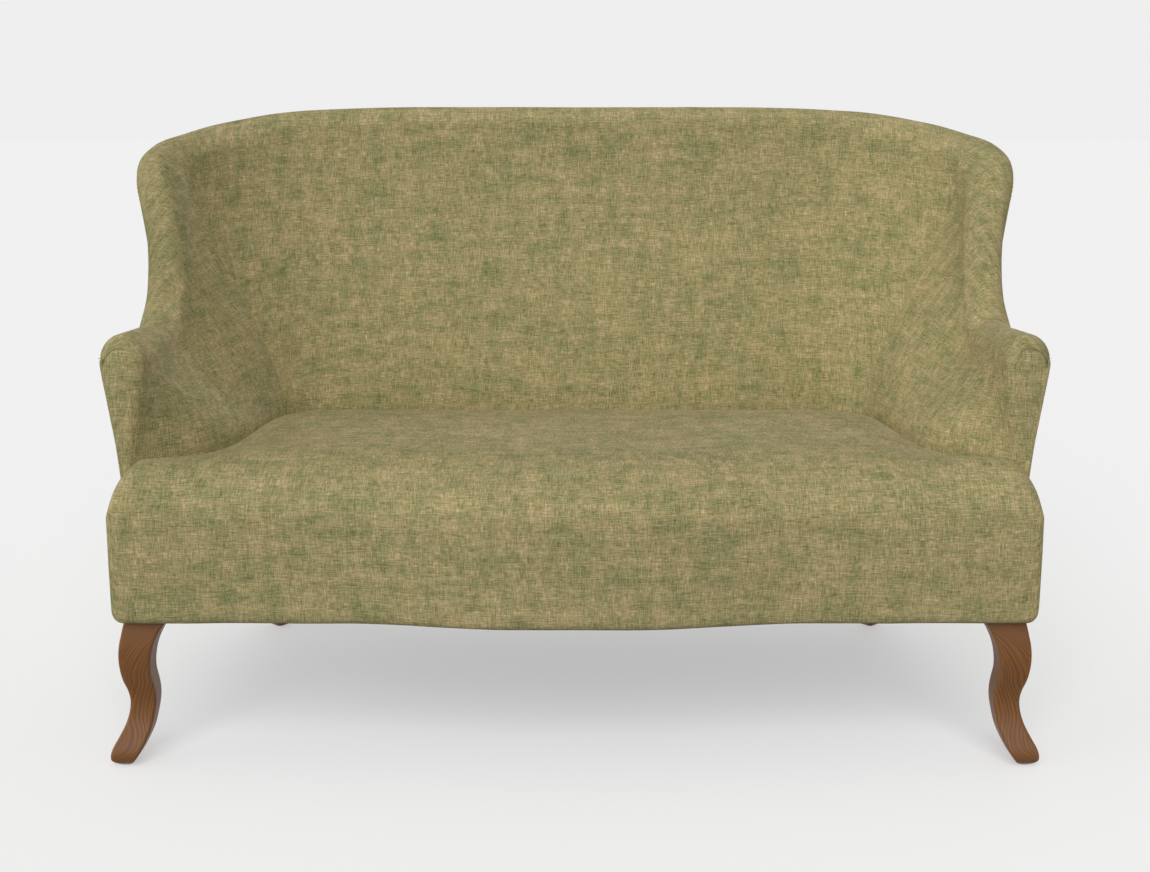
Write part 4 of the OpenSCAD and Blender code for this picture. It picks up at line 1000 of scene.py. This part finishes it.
# The seat cover: columns from its bottom front edge, over the rounded nose, back to where it is tucked away
seat = {
    "noseDepth": 0.150, "endNoseDepth": 0.065, "noseHeight": 0.078, "endDrop": 0.068, "endRound": 0.044,
    "endPower": 1.7, "edgeDip": 0.010, "bowWidth": 0.740, "bowFlat": 0.160, "endCorner": 0.012,
    "endBottom": 0.020, "armDipOver": 0.075, "rearDipFrom": 0.8, "hem": 0.011, "hemDrop": 0.0012,
    "noseShare": 0.85, "evenShare": 0.65, "gap": 0.0015, "tuckRound": 0.010, "frontRows": 9, "noseRows": 13,
    "topRows": 13, "tuckRows": 4,
    "columnStep": 0.125, "endColumns": 12, "capShares": (0.35, 0.7, 0.97), "capOut": 0.0012, "capLow": 0.01,
    "capHigh": 0.02, "waves": 0.0008, "waveSize": 0.12, "swell": 0.006, "pressure": 4.0,
    "hold": 0.1, "firmEdge": 5, "cutRow": 5,
}
noseZ = tub["seatHeight"] - seat["noseHeight"]
earStart = rows[0][0] + tub["armNose"]


def bowAt(x):
    half, flat = seat["bowWidth"] / 2, seat["bowFlat"] / 2
    return tub["bow"] * (1 - ease((abs(x) - flat) / (half - flat)))


def seatFrontY(x):
    return seat["endCorner"] * fall((abs(x) - seatHalf + seat["endCorner"]) / seat["endCorner"]) - bowAt(x)


def endFall(x):
    t = clamp((abs(x) - seatHalf + seat["endRound"]) / seat["endRound"])
    return seat["endDrop"] * (1 - (1 - t ** seat["endPower"]) ** (1 / seat["endPower"]))


def endRise(x):
    return seat["endBottom"] * fall((abs(x) - seatHalf + seat["endBottom"]) / seat["endBottom"])


def noseDepthAt(x):
    return lerp(seat["noseDepth"], seat["endNoseDepth"], ease((abs(x) - seatInHalf) / (seatHalf - seatInHalf)))


def seatTop(x, y, share):
    d = (y - seatFrontY(x)) / noseDepthAt(x)
    besideArm = (ease((abs(x) - seatInHalf + seat["armDipOver"]) / seat["armDipOver"])
                 * ease((y - frontY) / tub["armSet"]))
    rearDip = ease((share - seat["rearDipFrom"]) / (1 - seat["rearDipFrom"])) if abs(x) < earStart else 0.0
    return (noseZ + (seat["noseHeight"] - endFall(x)) * math.sqrt(1 - (1 - clamp(d)) ** 2)
            - seat["edgeDip"] * max(besideArm, rearDip))


def seatColumn(x, rearY, low):
    y0 = seatFrontY(x)
    bottom = tub["legHeight"] + endRise(x)
    depth, noseDepth = rearY - y0, noseDepthAt(x)
    turn = math.acos(max(0.0, 1 - seat["noseShare"] * depth / noseDepth))
    column = [(x, y0 + seat["hem"], bottom - seat["hemDrop"])]
    column += [(x, y0, lerp(bottom, noseZ, k / seat["frontRows"])) for k in range(seat["frontRows"])]
    ys = [y0 + noseDepth * (1 - math.cos(turn * k / seat["noseRows"])) for k in range(seat["noseRows"])]
    start = y0 + noseDepth * (1 - math.cos(turn))
    for k in range(seat["topRows"] + 1):
        share = k / seat["topRows"]
        ys.append(lerp(start, rearY, ease(share) * (1 - seat["evenShare"]) + seat["evenShare"] * share))
    r = min(seat["tuckRound"], 0.3 * depth)
    column += [(x, y, seatTop(x, y, (y - y0) / depth) - r * fall((y - rearY + r) / r)) for y in ys]
    last = column[-1][2]
    column += [(x, rearY, lerp(last, low, k / seat["tuckRows"])) for k in range(1, seat["tuckRows"] + 1)]
    return [(p[0], p[1] - midY, p[2]) for p in column]


def makeSeatCover():
    half = []
    for u in places(0, middle, seat["columnStep"])[::-1]:
        s = Section(u)
        x, y = s.foot - seat["gap"] * s.way
        half.append(seatColumn(x, y, tuckZ + seat["gap"]))
    for t in (math.pi / 6, math.pi / 3, math.pi / 2):
        half.append(seatColumn(rows[0][0] + tub["armNose"] * (1 - math.cos(t)),
                               tub["armSet"] - tub["armNose"] * math.sin(t) - seat["gap"], tub["legHeight"]))
    for k in range(1, seat["endColumns"] + 1):
        x = lerp(earStart, seatHalf, math.sin(math.pi / 2 * k / seat["endColumns"]))
        half.append(seatColumn(x, frontY - seat["gap"], tub["legHeight"] + endRise(x)))
    # the flat end closes towards a line at half its depth
    end = np.array(half[-1])
    spine = end.copy()
    spine[:, 1] = end[:, 1].mean()
    spine[:, 2] = np.clip(end[:, 2], end[:, 2].min() + seat["capLow"], end[:, 2].max() - seat["capHigh"])
    for share in seat["capShares"]:
        cap = lerp(end, spine, share)
        cap[:, 0] += seat["capOut"] * math.sin(share * math.pi / 2)
        half.append(cap.tolist())
    right = np.array(half)
    left = right[1:][::-1] * (-1, 1, 1)
    grid = stuffed(np.concatenate([left, right]), seat["swell"], seat["pressure"], seat["hold"],
                   seat["firmEdge"])
    noteCover("seat", grid)
    uv = clothCoordinates(grid, grid.shape[0] // 2, 1, clothStarts["seatCover"])
    # the cloth is cut with its threads upright, so its lengths across are taken along the front
    uv[:, :, 0] = clothStarts["seatCover"] + grid[:, :, 0]
    piece = coverPiece("seatCover", grid, uv)
    unevenness(piece, seat["waves"], seat["waveSize"], 5.9)
    asSheet(standsFor(piece, "cover_fabric", "seat_cover"), grid)


makeSeatCover()
print("seat cover made")


# Padding: the solids' shapes worked into soft foam, a little smaller than the space under the covers
padding = {"voxel": 0.006, "smoothing": 6, "smaller": 0.003, "under": 0.0035, "waves": 0.0008, "waveSize": 0.07}
# for each pad its node, how full it is, and the covers over it
pads = {"seatFoam": ("seat_foam", 0.9, "seat"), "frontPad": ("front_pad", 0.8, "seat"),
        "backFoam": ("back_foam", 0.8, "inside"), "armFoamRight": ("arm_foam_right", 0.8, "inside"),
        "armFoamLeft": ("arm_foam_left", 0.8, "inside"),
        "armFrontPadRight": ("arm_front_pad_right", 0.7, "front"),
        "armFrontPadLeft": ("arm_front_pad_left", 0.7, "front")}
coverTrees["front"] += coverTrees["inside"]


def mergedCopy(name, nodeName):
    mesh = nodes[nodeName].data.copy()
    mesh.name = name
    bm = bmesh.new()
    bm.from_mesh(mesh)
    bmesh.ops.remove_doubles(bm, verts=bm.verts, dist=0.00001)
    bm.to_mesh(mesh)
    bm.free()
    return inScene(name, mesh)


def giveFinish(obj, finish):
    obj.data.materials.clear()
    obj.data.materials.append(finishes[finish])


def makePads():
    for name, (nodeName, fill, group) in pads.items():
        obj = mergedCopy(name, nodeName)
        remesh = obj.modifiers.new("remesh", "REMESH")
        remesh.mode = "VOXEL"
        remesh.voxel_size = padding["voxel"]
        smooth = obj.modifiers.new("smooth", "SMOOTH")
        smooth.iterations = padding["smoothing"]
        applied(obj)
        giveFinish(obj, "foam")
        obj.data.shade_smooth()
        placedAt(obj, pointValues(obj.data, "co") - pointValues(obj.data, "normal") * padding["smaller"])
        unevenness(obj, padding["waves"], padding["waveSize"], 1.7)
        keptUnder(obj, group, padding["under"])
        standsFor(obj, "foam", nodeName)


makePads()
print("padding made")


# Linings and webbing: thin woven pieces, finely divided, slightly uneven, and sagging where they hang free;
# for each its node, finish, slot, waviness and what it rests on, if it is one sheet
linings = {
    "seatHessian": ("seat_hessian", "hessian", "hessian", 0.0006, ["seatSprings"]),
    "backHessian": ("back_hessian", "hessian", "hessian", 0.0005, ["backWebbingUpright"]),
    "armHessianRight": ("arm_hessian_right", "hessian", "hessian", 0.0005,
                        ["arm_rail_right", "arm_tack_rail_right"]),
    "armHessianLeft": ("arm_hessian_left", "hessian", "hessian", 0.0005,
                       ["arm_rail_left", "arm_tack_rail_left"]),
    "backWebbingUpright": ("back_webbing_upright", "webbing", "webbing", 0.0002, None),
    "backWebbingCross": ("back_webbing_cross", "webbing", "webbing", 0.0002, None),
    "dustCover": ("dust_cover", "dustCloth", "dust_cloth", 0.0006, ["front_rail", "rear_rail"]),
}
lining = {"edge": 0.03, "rounds": 7, "waveSize": 0.05, "sag": 0.004}


def finelyDivided(obj, longest):
    bm = bmesh.new()
    bm.from_mesh(obj.data)
    for _ in range(lining["rounds"]):
        long = [e for e in bm.edges if e.calc_length() > longest]
        if not long:
            break
        bmesh.ops.subdivide_edges(bm, edges=long, cuts=1, use_grid_fill=False)
        bmesh.ops.triangulate(bm, faces=[f for f in bm.faces if len(f.verts) > 3])
    bm.to_mesh(obj.data)
    bm.free()
    return obj


def makeLinings():
    for name, (nodeName, finish, slotName, waves, rests) in linings.items():
        obj = finelyDivided(mergedCopy(name, nodeName), lining["edge"])
        low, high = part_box(nodeName)
        sag = lining["sag"] if name == "dustCover" else 0.0
        for v in obj.data.vertices:
            p = v.co
            wave = noise.noise(p / lining["waveSize"]) * waves
            if name in ("seatHessian", "dustCover"):
                x = 2 * (p.x - low[0]) / (high[0] - low[0]) - 1
                y = 2 * (p.y - low[1]) / (high[1] - low[1]) - 1
                v.co.z += wave - sag * max(0.0, 1 - x ** 4) * max(0.0, 1 - y ** 4)
            else:
                v.co.y += wave
        giveFinish(obj, finish)
        standsFor(obj, slotName, nodeName)


makeLinings()
print("linings made")


# Sinuous springs: each is a wire that swings from side to side along its run
springs = {"count": 8, "pitch": 0.130, "wire": 0.0038, "swing": 0.0221, "waves": 9.0, "end": 0.016,
           "height": 0.3284, "frontSet": 0.033, "rear": 0.677, "points": 260, "sides": 10}


def grown(obj, tree, values):
    # the tree's result as the object's own plain mesh
    modifier = obj.modifiers.new("grow", "NODES")
    modifier.node_group = tree
    for item in tree.interface.items_tree:
        if item.item_type == "SOCKET" and item.in_out == "INPUT" and item.name in values:
            modifier[item.identifier] = values[item.name]
    return applied(obj)


def polylines(name, lines):
    points, edges = [], []
    for line in lines:
        edges += [(len(points) + k, len(points) + k + 1) for k in range(len(line) - 1)]
        points += [tuple(map(float, p)) for p in line]
    mesh = bpy.data.meshes.new(name)
    mesh.from_pydata(points, edges, [])
    return inScene(name, mesh)


def closedTree(tree, out, geometry, finish):
    for kind, more in (("SetShadeSmooth", {}), ("RealizeInstances", {}), ("SetMaterial", {"Material": finish})):
        geometry = result(tree, "GeometryNode" + kind, {"Geometry": geometry, **more})
    tree.links.new(geometry, out.inputs["Geometry"])
    return tree


def makeSpringTree():
    tree, g, out = openTree(
        "GeometryNodeTree", "sinuousSpring",
        {"Geometry": "Geometry", "Wire": "Float", "Swing": "Float", "Waves": "Float", "End": "Float",
         "Points": "Int", "Finish": "Material"}, {"Geometry": "Geometry"})
    run = result(tree, "GeometryNodeMeshToCurve", {"Mesh": g["Geometry"]})
    run = result(tree, "GeometryNodeResampleCurve", {"Curve": run, "Count": g["Points"]})
    share = addNode(tree, "GeometryNodeSplineParameter").outputs["Factor"]
    endShare = calc(tree, "DIVIDE", g["End"], result(tree, "GeometryNodeSplineLength"))
    along = result(tree, "ShaderNodeMapRange", {
        "Value": share, "From Min": endShare, "From Max": calc(tree, "SUBTRACT", 1.0, endShare)})
    turn = calc(tree, "MULTIPLY", calc(tree, "MULTIPLY", along, g["Waves"]), 2 * math.pi)
    swing = calc(tree, "MULTIPLY", g["Swing"], calc(tree, "SINE", turn))
    offset = result(tree, "ShaderNodeCombineXYZ", {"X": swing})
    run = result(tree, "GeometryNodeSetPosition", {"Geometry": run, "Offset": offset})
    ring = result(tree, "GeometryNodeCurvePrimitiveCircle", {
        "Resolution": springs["sides"], "Radius": calc(tree, "MULTIPLY", g["Wire"], 0.5)})
    wire = result(tree, "GeometryNodeCurveToMesh", {"Curve": run, "Profile Curve": ring, "Fill Caps": True})
    return closedTree(tree, out, wire, g["Finish"])


def makeSprings():
    runs = []
    for k in range(springs["count"]):
        x = (k - (springs["count"] - 1) / 2) * springs["pitch"]
        runs.append([(x, springs["frontSet"] - bowAt(x) - midY, springs["height"]),
                     (x, springs["rear"] - midY, springs["height"])])
    obj = grown(polylines("seatSprings", runs), makeSpringTree(), {
        "Wire": springs["wire"], "Swing": springs["swing"], "Waves": springs["waves"], "End": springs["end"],
        "Points": springs["points"], "Finish": finishes["springSteel"]})
    standsFor(obj, "spring_steel", "seat_springs")


makeSprings()
print("springs made")


# Hand stitches close the outside covers; staples hold the dust cover
stitches = {
    "pitch": 0.0085, "length": 0.0052, "thick": 0.00045, "turn": 0.12, "seed": 4, "finish": "sewingThread",
    "proud": 0.0004, "lowEnd": 0.02, "highEnd": 0.012, "points": 40, "ends": 0.7, "step": 0.1, "under": 0.0008,
}
staples = {
    "pitch": 0.045, "length": 0.010, "thick": 0.0006, "turn": 0.25, "seed": 7, "finish": "zincSteel",
    "inset": 0.022, "height": 0.2334, "side": (1.9, 8.4), "rearFrom": 11.6, "step": 0.2, "frontHalf": 0.60,
    "points": 60,
}
bars = {"sides": 6, "points": 4, "end": 0.1, "taper": 0.6}


def makeBarTree():
    tree, g, out = openTree(
        "GeometryNodeTree", "barsAlongPath",
        {"Geometry": "Geometry", "Pitch": "Float", "Length": "Float", "Thick": "Float", "Turn": "Float",
         "Seed": "Int", "Finish": "Material"}, {"Geometry": "Geometry"})
    path = result(tree, "GeometryNodeMeshToCurve", {"Mesh": g["Geometry"]})
    path = result(tree, "GeometryNodeResampleCurve", {"Curve": path, "Length": g["Pitch"]}, mode="LENGTH")
    half = calc(tree, "MULTIPLY", g["Length"], 0.5)
    start = result(tree, "ShaderNodeCombineXYZ", {"X": calc(tree, "MULTIPLY", half, -1.0)})
    end = result(tree, "ShaderNodeCombineXYZ", {"X": half})
    bar = result(tree, "GeometryNodeCurvePrimitiveLine", {"Start": start, "End": end})
    bar = result(tree, "GeometryNodeResampleCurve", {"Curve": bar, "Count": bars["points"]})
    share = addNode(tree, "GeometryNodeSplineParameter").outputs["Factor"]
    turn = calc(tree, "MULTIPLY_ADD", share, (1 - 2 * bars["end"]) * math.pi, bars["end"] * math.pi)
    taper = calc(tree, "POWER", calc(tree, "SINE", turn), bars["taper"])
    ring = result(tree, "GeometryNodeCurvePrimitiveCircle", {"Resolution": bars["sides"], "Radius": g["Thick"]})
    bar = result(tree, "GeometryNodeSetCurveRadius", {"Curve": bar, "Radius": taper})
    bar = result(tree, "GeometryNodeCurveToMesh", {"Curve": bar, "Profile Curve": ring, "Fill Caps": True})
    tangent = result(tree, "GeometryNodeInputTangent")
    turned = result(tree, "FunctionNodeAlignRotationToVector", {"Vector": tangent}, axis="X")
    wobble = addNode(tree, "FunctionNodeRandomValue", {
        "Min": calc(tree, "MULTIPLY", g["Turn"], -1.0), "Max": g["Turn"], "Seed": g["Seed"]}, data_type="FLOAT")
    spin = result(tree, "ShaderNodeCombineXYZ", {"Z": wobble.outputs[1]})
    turned = result(tree, "FunctionNodeRotateRotation", {"Rotation": turned, "Rotate By": spin},
                    rotation_space="LOCAL")
    placed = result(tree, "GeometryNodeInstanceOnPoints", {"Points": path, "Instance": bar, "Rotation": turned})
    return closedTree(tree, out, placed, g["Finish"])


barTree = makeBarTree()


def barsOn(name, lines, look):
    return grown(polylines(name, lines), barTree, {
        "Pitch": look["pitch"], "Length": look["length"], "Thick": look["thick"], "Turn": look["turn"],
        "Seed": look["seed"], "Finish": finishes[look["finish"]]})


def seamPoint(section, z, proud=0.0):
    return section.place((section.outer(z) + proud, z))


def makeStitches():
    lines = []
    for s in map(Section, (outside["seamAt"], 2 * middle - outside["seamAt"])):
        low, high = tub["legHeight"] + stitches["lowEnd"], s.rollZ - stitches["highEnd"]
        lines.append([seamPoint(s, z, stitches["proud"]) for z in np.linspace(low, high, stitches["points"])])
    across = places(stitches["ends"], 2 * middle - stitches["ends"], stitches["step"])
    lines.append([seamPoint(s, s.rollZ - s.drop - stitches["under"]) for s in map(Section, across)])
    standsFor(barsOn("seamStitches", lines, stitches), "cover_fabric")


def makeStaples():
    # along the bottom frame, leaving out the corners where the legs stand
    inset, z = staples["inset"], staples["height"]

    def line(start, end):
        return [s.place((s.reach - inset, z)) for s in map(Section, places(start, end, staples["step"]))]

    right = line(*staples["side"])
    left = [(-p[0], p[1], p[2]) for p in right]
    rear = line(staples["rearFrom"], 2 * middle - staples["rearFrom"])
    front = [(x, inset - bowAt(x) - midY, z)
             for x in np.linspace(-staples["frontHalf"], staples["frontHalf"], staples["points"])]
    standsFor(barsOn("dustCoverStaples", [right, left, rear, front], staples), "zinc_steel")


makeStitches()
makeStaples()
print("stitches and staples made")


# The cabriole legs: square sections with eased corners; their outer and inner edge, each place as a share of
# the width and of the height
frontLegs = {"width": 0.070, "in": 0.015, "back": 0.022, "glide": 0.003, "corner": 0.0055, "rings": 72,
             "side": 7}
outerEdge = [(0.25, 0.00), (0.345, 0.023), (0.375, 0.066), (0.335, 0.11), (0.21, 0.18), (0.075, 0.264),
             (-0.01, 0.36), (-0.025, 0.43), (0.005, 0.49), (0.09, 0.58), (0.13, 0.655), (0.145, 0.74),
             (0.125, 0.82), (0.07, 0.906), (0.0, 1.0)]
innerEdge = [(-0.09, 0.00), (-0.25, 0.066), (-0.375, 0.136), (-0.49, 0.22), (-0.56, 0.31), (-0.61, 0.404),
             (-0.615, 0.48), (-0.595, 0.54), (-0.555, 0.63), (-0.565, 0.715), (-0.66, 0.84), (-0.81, 0.93),
             (-0.98, 1.00)]


def edgeAt(table, share):
    # a smooth line through the table, monotone in height
    z = np.array([p[1] for p in table])
    v = np.array([p[0] for p in table])
    slope = np.gradient(v, z)
    i = int(np.clip(np.searchsorted(z, share) - 1, 0, len(z) - 2))
    h = z[i + 1] - z[i]
    t = (share - z[i]) / h
    return ((2 * t ** 3 - 3 * t * t + 1) * v[i] + (t ** 3 - 2 * t * t + t) * h * slope[i]
            + (3 * t * t - 2 * t ** 3) * v[i + 1] + (t ** 3 - t * t) * h * slope[i + 1])


def easedSquare(x0, x1, y0, y1, corner, side):
    # points round a rectangle with round corners, and how near each is to a corner
    r = min(corner, 0.3 * (x1 - x0), 0.3 * (y1 - y0))
    points, near = [], []
    for cx, cy, start, following in (
            (x1 - r, y0 + r, -90, (x1, y1 - r)), (x1 - r, y1 - r, 0, (x0 + r, y1)),
            (x0 + r, y1 - r, 90, (x0, y0 + r)), (x0 + r, y0 + r, 180, (x1 - r, y0))):
        for k in range(5):
            a = math.radians(start + 90 * k / 4)
            points.append((cx + r * math.cos(a), cy + r * math.sin(a)))
            near.append(1.0 - abs(k - 2) / 3)
        last, following = np.array(points[-1]), np.array(following)
        for k in range(1, side):
            points.append(tuple(lerp(last, following, k / side)))
            near.append(0.0)
    return points, near


def legObject(name, rings, near, material):
    n = len(rings[0])
    grid = np.array(rings)
    # the surface's own lengths: round each ring, and up the leg
    around = lengthsAlong(np.concatenate([grid, grid[:, :1]], axis=1), 1)
    up = lengthsAlong(grid.mean(axis=1), 0)
    obj = closedLoft(name, rings, material)
    mesh = obj.data
    layer = mesh.uv_layers.new(name="weave")
    for polygon in mesh.polygons:
        ids = [mesh.loops[i].vertex_index for i in polygon.loop_indices]
        wraps = len(ids) == 4 and {v % n for v in ids} == {0, n - 1}
        for i, v in zip(polygon.loop_indices, ids):
            ring, k = divmod(v, n)
            layer.data[i].uv = (around[ring][n if wraps and k == 0 else k], up[ring])
    values = mesh.attributes.new("edge", "FLOAT", "POINT")
    values.data.foreach_set("value", np.array(near, np.float32).ravel())
    return obj


def pairOfLegs(end, rings, near, shift):
    right = legObject(end + "LegRight", rings, near, finishes["showWood"])
    left = mirroredCopy(right, end + "LegLeft", shift)
    standsFor(right, "show_wood", end + "_leg_right")
    standsFor(left, "show_wood", end + "_leg_left")


def makeFrontLegs():
    w, x, y = frontLegs["width"], seatHalf - frontLegs["in"], frontLegs["back"]
    low, high = frontLegs["glide"], tub["legHeight"]
    rings, near = [], []
    for k in range(frontLegs["rings"] + 1):
        share = k / frontLegs["rings"]
        outer, inner = edgeAt(outerEdge, share) * w, edgeAt(innerEdge, share) * w
        points, nearness = easedSquare(x + inner, x + outer, y - outer, y - inner, frontLegs["corner"],
                                       frontLegs["side"])
        z = lerp(low, high, share)
        rings.append([(p[0], p[1] - midY, z) for p in points])
        near.append(nearness)
    pairOfLegs("front", rings, near, (0.4, 0.9))


rearLegs = {"top": 0.048, "foot": 0.028, "block": 0.045, "cover": 0.003, "gap": 0.001, "set": 0.004,
            "bend": 1.4, "glide": 0.003, "corner": 0.004, "rings": 40, "side": 4}


def makeRearLegs():
    r = tub["cornerRadius"]
    x = cornerX + r / 2
    coverY = cornerY + math.sqrt(r * r - (x - cornerX) ** 2) - rearLegs["cover"] - rearLegs["gap"]
    topY = coverY - rearLegs["top"] / math.sqrt(2) - rearLegs["set"]
    footY = crestDepth + tub["backRoll"] - rearLegs["foot"] / math.sqrt(2)
    straight, c = tub["legHeight"] - rearLegs["block"], math.sqrt(0.5)
    rings, near = [], []
    for k in range(rearLegs["rings"] + 1):
        z = lerp(rearLegs["glide"], tub["legHeight"], k / rearLegs["rings"])
        t = clamp((straight - z) / (straight - rearLegs["glide"]))
        half = lerp(rearLegs["top"], rearLegs["foot"], t) / 2
        points, nearness = easedSquare(-half, half, -half, half, rearLegs["corner"], rearLegs["side"])
        y = lerp(topY, footY, t ** rearLegs["bend"])
        rings.append([(x + c * (p[0] - p[1]), y - midY + c * (p[0] + p[1]), z) for p in points])
        near.append(nearness)
    pairOfLegs("rear", rings, near, (0.8, 0.3))


makeFrontLegs()
makeRearLegs()
print("legs made")

# The frame's own pieces take their finishes
nodeFinishes = {
    "beechUp": ["arm_post_left", "arm_post_right", "wing_post_left", "wing_post_right", "back_post_left",
                "back_post_right", "centre_back_post", "corner_blocks"],
    "beechAcross": ["front_rail", "rear_rail", "top_rail", "back_tack_rail", "corner_rail_left",
                    "corner_rail_right"],
    "beechBack": ["side_rail_left", "side_rail_right", "centre_stretcher", "arm_rail_left", "arm_rail_right",
                  "wing_rail_left", "wing_rail_right", "arm_tack_rail_left", "arm_tack_rail_right",
                  "rail_dowels"],
    "zincSteel": ["block_screws", "leg_bolts", "leg_nuts", "leg_glides", "spring_clips"],
}
for finish, names in nodeFinishes.items():
    for name in names:
        for slotOf in nodes[name].material_slots:
            slotOf.material = finishes[finish]

# Floor, light and background; the floor sends less light to the object than the camera sees of it
studio = {"floorHalf": 60, "floorColour": 0.80, "floorBounce": 0.30, "floorGlow": 0.16, "floorLight": 1.93,
          "background": 0.863, "ambient": 0.32}
# from where each lamp shines, how strong and how soft it is, in degrees, and whether it casts a shadow
lamps = {"key": ((-0.05, -0.82, 0.56), 1.85, 50, True), "side": ((-0.9, -0.2, 0.3), 1.10, 50, False),
         "rear": ((0.4, 0.9, 0.17), 1.4, 40, False)}


def makeFloor():
    mesh = bpy.data.meshes.new("floor")
    half = studio["floorHalf"]
    corners = [(x * half, y * half, 0) for x, y in ((-1, -1), (1, -1), (1, 1), (-1, 1))]
    mesh.from_pydata(corners, [], [(0, 1, 2, 3)])
    floor = inScene("floor", mesh)
    material = bpy.data.materials.new("paleFloor")
    material.use_nodes = True
    tree = material.node_tree
    tree.nodes.clear()
    path = addNode(tree, "ShaderNodeLightPath")
    seen = calc(tree, "MAXIMUM", path.outputs["Is Camera Ray"], path.outputs["Is Glossy Ray"])
    tone = mixColours(tree, seen, [studio["floorBounce"]] * 3, [studio["floorColour"]] * 3)
    soft = result(tree, "ShaderNodeBsdfDiffuse", {"Color": tone})
    glow = result(tree, "ShaderNodeEmission", {"Color": (1, 1, 1, 1), "Strength": studio["floorLight"]})
    share = calc(tree, "MULTIPLY", seen, studio["floorGlow"])
    mix = result(tree, "ShaderNodeMixShader", {0: share, 1: soft, 2: glow})
    addNode(tree, "ShaderNodeOutputMaterial", {"Surface": mix})
    mesh.materials.append(material)


def makeLight():
    world = bpy.data.worlds.new("studio")
    bpy.context.scene.world = world
    world.use_nodes = True
    tree = world.node_tree
    tree.nodes.clear()
    path = addNode(tree, "ShaderNodeLightPath")
    seen = calc(tree, "MAXIMUM", path.outputs["Is Camera Ray"],
                calc(tree, "MAXIMUM", path.outputs["Is Glossy Ray"], path.outputs["Is Transmission Ray"]))
    strength = result(tree, "ShaderNodeMix", {"Factor": seen, 2: studio["ambient"], 3: studio["background"]},
                      data_type="FLOAT")
    shade = result(tree, "ShaderNodeBackground", {"Color": (1, 1, 1, 1), "Strength": strength})
    addNode(tree, "ShaderNodeOutputWorld", {"Surface": shade})
    for name, (way, power, soft, shadow) in lamps.items():
        lamp = bpy.data.lights.new(name, "SUN")
        lamp.energy = power
        lamp.angle = math.radians(soft)
        lamp.use_shadow = shadow
        inScene(name, lamp).rotation_euler = Vector(way).to_track_quat("Z", "Y").to_euler()


makeFloor()
makeLight()
bpy.context.scene.view_settings.view_transform = "Standard"

print("scene ready")
